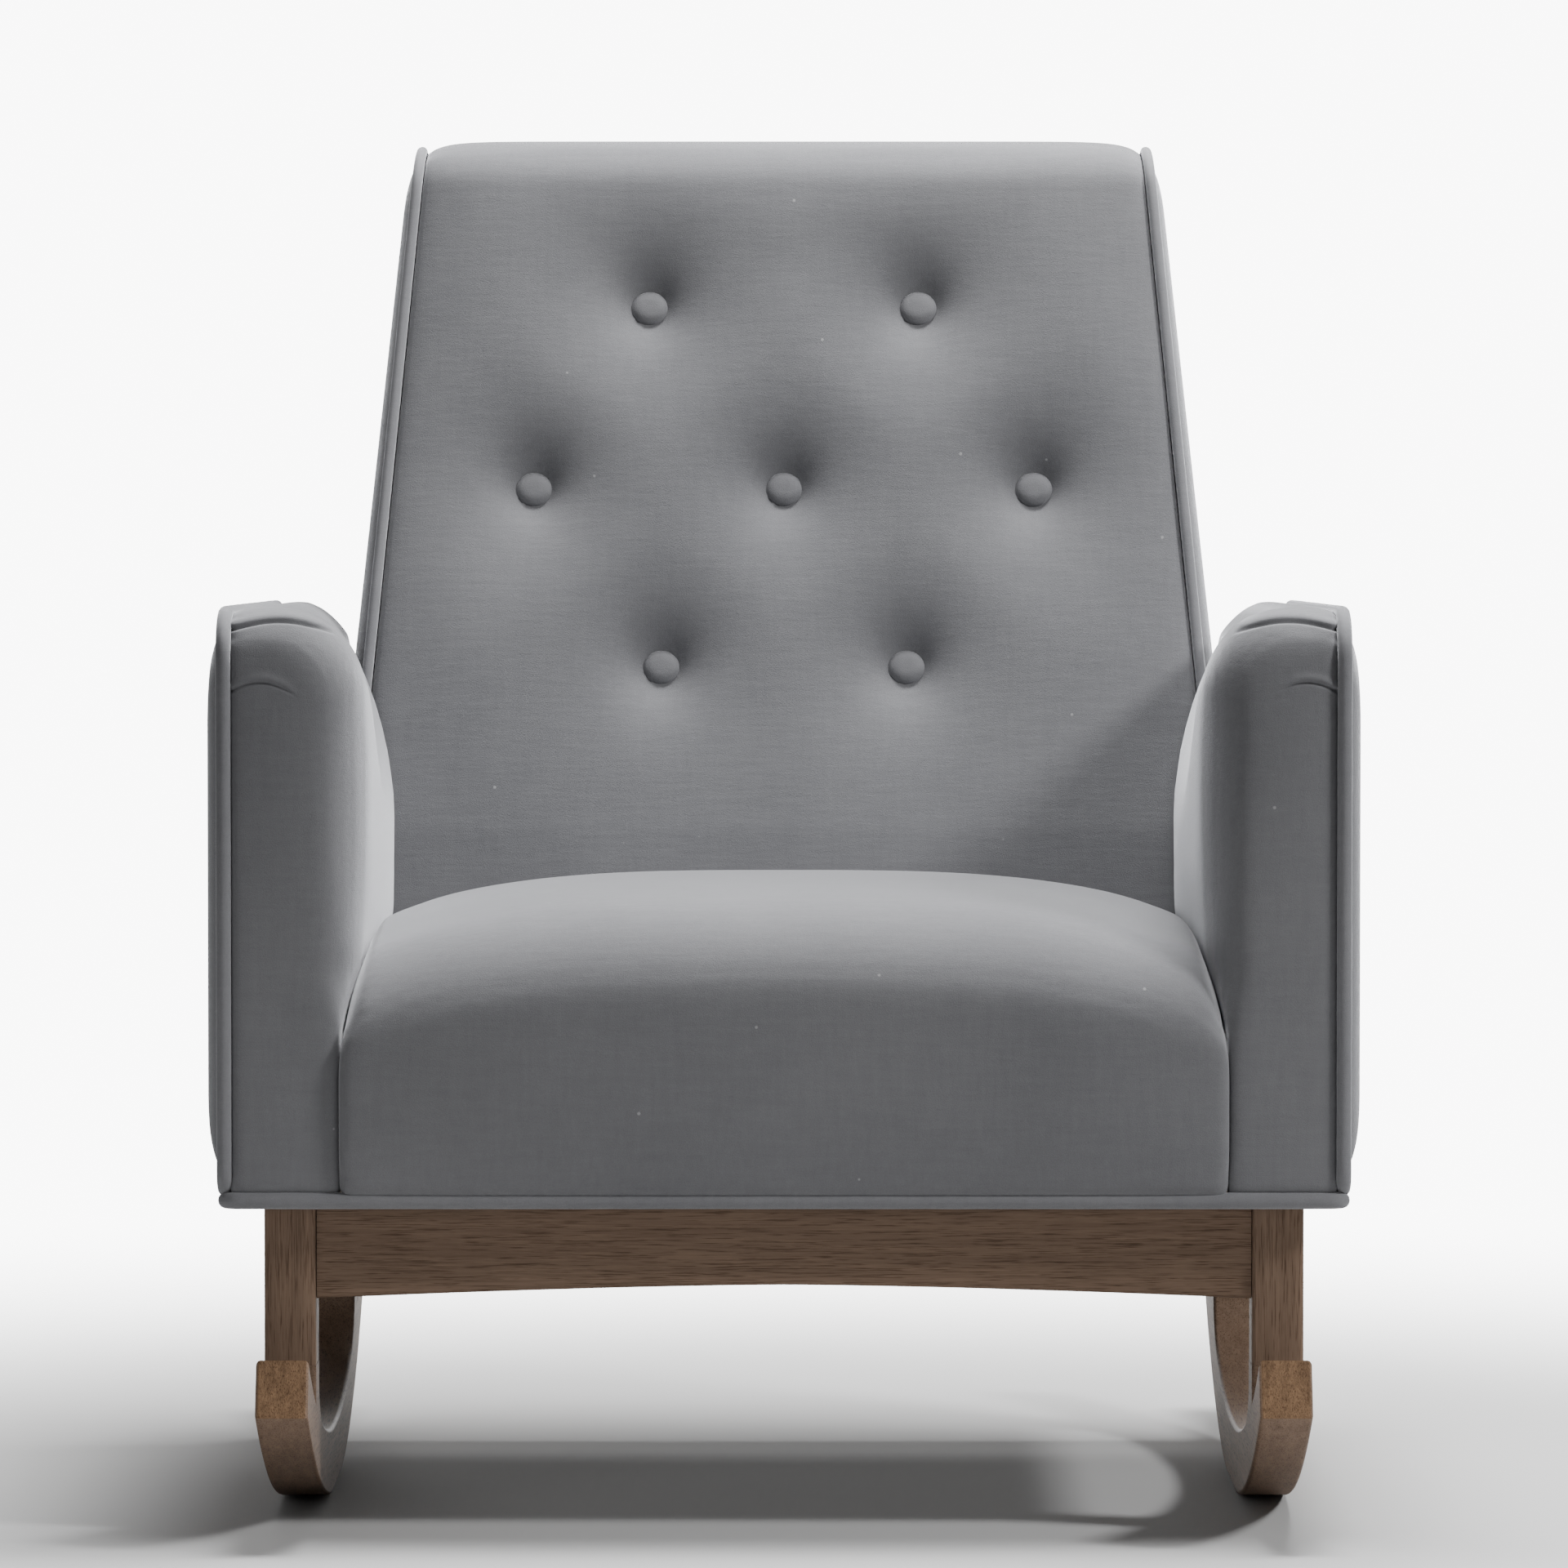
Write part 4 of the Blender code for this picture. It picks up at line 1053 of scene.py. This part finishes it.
def make_rockers():
    angles = rocker_angles()
    under = [rocker_point(a) for a in angles]
    top = [rocker_point(a, rocker_thick(a)) for a in angles]
    front_high = FRONT_LEG_Y + LEG_DEPTH
    rear_high = REAR_LEG_Y + LEG_DEPTH
    reach = FILLET[0] + 0.002
    upper = [p for p in top if p[0] < FRONT_LEG_Y - 0.004]
    upper += [(FRONT_LEG_Y, top_height(FRONT_LEG_Y))]
    upper += [(FRONT_LEG_Y, FRONT_JOINT_Z), (front_high, FRONT_JOINT_Z)]
    upper += boss(front_high, 1)
    upper += [p for p in top if front_high + reach < p[0] < REAR_LEG_Y - reach]
    upper += boss(REAR_LEG_Y, -1)[::-1]
    upper += [(REAR_LEG_Y, REAR_JOINT_Z), (rear_high, REAR_JOINT_Z), (rear_high, top_height(rear_high))]
    upper += [p for p in top if p[0] > rear_high + 0.004]
    outline = under + upper[::-1]

    def skip(a, b):
        level = abs(a[1] - b[1]) < 1e-6
        return level and a[1] > 0.1 and abs(a[0] - b[0]) > 0.02

    for side, word in SIDES:
        x = side * FRAME_X
        low, high = x - ROCKER_WIDTH / 2, x + ROCKER_WIDTH / 2
        obj = eased_prism(f"rocker_wood_{word}", outline, 0, low, high, WOOD_EASE, skip, WALNUT[1])
        obj.data.materials.append(WALNUT_END)
        for polygon in obj.data.polygons:
            centre = polygon.center
            if polygon.normal.y < -0.7 and centre.y < TIP_Y + 0.05 and abs(polygon.normal.x) < 0.5:
                polygon.material_index = 1
        finished(obj, f"rocker_{word}")
        for place, y, joint in (("front", FRONT_LEG_Y, FRONT_JOINT_Z), ("rear", REAR_LEG_Y, REAR_JOINT_Z)):
            half = LEG_WIDTH / 2
            plan = [(x - half, y), (x + half, y), (x + half, y + LEG_DEPTH), (x - half, y + LEG_DEPTH)]
            leg = corner_post(f"{place}_leg_wood_{word}", plan, joint + 0.0002, BASE_TOP_Z)
            finished(leg, f"{place}_leg_{word}")


def corner_post(name, plan, low, high):
    """A square post whose four upright edges are eased."""
    outline = fillet(plan, (WOOD_EASE,) * 4, 4)
    rings = [[(x, y, z) for x, y in outline] for z in (low, (low + high) / 2, high)]
    obj = link(name, loft(name, rings), WALNUT[2])
    obj.data.set_sharp_from_angle(angle=radians(40))
    return obj


def make_aprons():
    half = FRAME_X - LEG_WIDTH / 2 - 0.0005
    steps = 48
    arch = []
    for i in range(steps + 1):
        x = half * (2 * i / steps - 1)
        arch.append((x, APRON_MID_Z - APRON_ARCH * abs(x / half) ** 1.5))
    outline = arch + [(half, BASE_TOP_Z), (-half, BASE_TOP_Z)]

    def skip(a, b):
        return abs(a[0] - b[0]) < 1e-6 or min(a[1], b[1]) > 0.2

    front = FRONT_LEG_Y + APRON_RECESS
    rear = REAR_LEG_Y + LEG_DEPTH - APRON_RECESS
    for name, low, high in (("front", front, front + RAIL_THICK), ("rear", rear - RAIL_THICK, rear)):
        obj = eased_prism(f"{name}_apron_wood", outline, 1, low, high, RAIL_EASE, skip, WALNUT[0])
        finished(obj, f"{name}_apron")
    low_z = APRON_MID_Z - APRON_ARCH
    for side, word in SIDES:
        x = side * FRAME_X
        start, end = FRONT_LEG_Y + LEG_DEPTH + JOINT_GAP, REAR_LEG_Y - JOINT_GAP
        section = [(start, low_z), (end, low_z), (end, BASE_TOP_Z), (start, BASE_TOP_Z)]
        low, high = x - RAIL_THICK / 2, x + RAIL_THICK / 2
        obj = eased_prism(f"side_rail_wood_{word}", section, 0, low, high, RAIL_EASE, skip, WALNUT[1])
        finished(obj, f"side_rail_{word}")


# Underside and inside ---------------------------------------------------------------------------


def make_dust_cover():
    """A thin black cloth stapled under the seat, sagging a little between its edges."""
    low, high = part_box("dust_cover")
    columns = 40
    verts, faces = [], []
    for r in range(columns + 1):
        for c in range(columns + 1):
            s, t = c / columns, r / columns
            z = high[2] - JOINT_GAP - 0.004 * sin(pi * s) * sin(pi * t)
            verts.append((low[0] + (high[0] - low[0]) * s, low[1] + (high[1] - low[1]) * t, z))
    wide = columns + 1
    for r in range(columns):
        for c in range(columns):
            a = r * wide + c
            faces.append((a, a + wide, a + 1 + wide, a + 1))
    obj = link("dust_cloth", mesh_from("dust_cloth", verts, faces), lining())
    solid = obj.modifiers.new("thickness", "SOLIDIFY")
    solid.thickness = 0.0008
    bake_modifiers(obj)
    finished(obj, "dust_cover")


def paint_inside():
    finishes = {"frame_wood": raw_wood(), "steel": steel(), "webbing": webbing()}
    for part in frame["record"]["subparts"]:
        finish = finishes.get(part["material_slot"])
        if finish is not None:
            obj = frame["nodes"][part["node"]]
            for slot in obj.material_slots:
                slot.material = finish


# Studio ----------------------------------------------------------------------------------------


def fading(nodes, near, far):
    """1 up to the near distance from the origin, and falling to 0 at the far one."""
    away = nodes.add("ShaderNodeVectorMath", {0: nodes.place}, operation="LENGTH").outputs["Value"]
    links = {"Value": away, "From Min": near, "From Max": far, "To Min": 1.0, "To Max": 0.0}
    return nodes.add("ShaderNodeMapRange", links, interpolation_type="SMOOTHSTEP").outputs[0]


def make_floor():
    """A pale floor that fades out around the chair, and a soft glowing wall far behind it."""
    n = Nodes("studio_floor_paint")
    fade = fading(n, 0.6, 2.1)
    paint = n.finish(Base_Color=(0.44, 0.44, 0.44, 1), Roughness=0.95, Specular_IOR_Level=0.1, Alpha=fade)
    corners = [(-4, -4, -0.0005), (4, -4, -0.0005), (4, 4, -0.0005), (-4, 4, -0.0005)]
    link("studio_floor", mesh_from("studio_floor", corners, [(0, 1, 2, 3)]), paint)
    wall = Nodes("studio_wall_paint")
    fade = fading(wall, 9.22, 9.75)
    glow = wall.finish(
        Base_Color=(0.9, 0.9, 0.9, 1), Emission_Color=(1, 1, 1, 1), Emission_Strength=WALL_GLOW, Alpha=fade,
    )
    corners = [(-7, 9, -2.5), (7, 9, -2.5), (7, 9, 3.5), (-7, 9, 3.5)]
    link("studio_wall", mesh_from("studio_wall", corners, [(0, 3, 2, 1)]), glow)


def area_light(name, place, target, size, power):
    data = bpy.data.lights.new(name, "AREA")
    data.shape = "RECTANGLE"
    data.size, data.size_y = size
    data.energy = power
    obj = bpy.data.objects.new(name, data)
    bpy.context.scene.collection.objects.link(obj)
    obj.location = place
    obj.rotation_euler = (Vector(target) - Vector(place)).to_track_quat("-Z", "Y").to_euler()


def make_lights():
    area_light("top", (0.36, 0.40, 3.1), (0, 0.1, 0.4), (1.0, 1.5), 290)
    area_light("key_right", (2.18, -1.07, 2.15), (0, 0.15, 0.45), (0.45, 0.45), 74)
    area_light("fill", (-1.7, -3.8, 1.1), (0, 0, 0.4), (1.4, 1.4), 22)
    area_light("behind", (0.0, 2.6, 2.9), (0, 0.1, 0.6), (2.6, 1.0), 40)
    world = bpy.data.worlds.new("studio")
    bpy.context.scene.world = world
    world.use_nodes = True
    background = world.node_tree.nodes["Background"]
    background.inputs["Color"].default_value = (1, 1, 1, 1)
    background.inputs["Strength"].default_value = 0.075


def make_camera():
    data = bpy.data.cameras.new("camera")
    data.lens = LENS
    data.sensor_width = SENSOR
    data.clip_end = 60
    camera = bpy.data.objects.new("camera", data)
    bpy.context.scene.collection.objects.link(camera)
    camera.location = (0, TIP_Y - CAMERA_AWAY, CAMERA_Z)
    camera.rotation_euler = (pi / 2 - radians(CAMERA_TILT), 0, 0)
    bpy.context.scene.camera = camera


make_camera()
make_lights()
make_floor()
make_back_cover()
make_buttons()
make_back_sides()
make_outer_back()
make_arms()
make_seat()
make_front_welt()
make_rockers()
make_aprons()
make_dust_cover()
paint_inside()
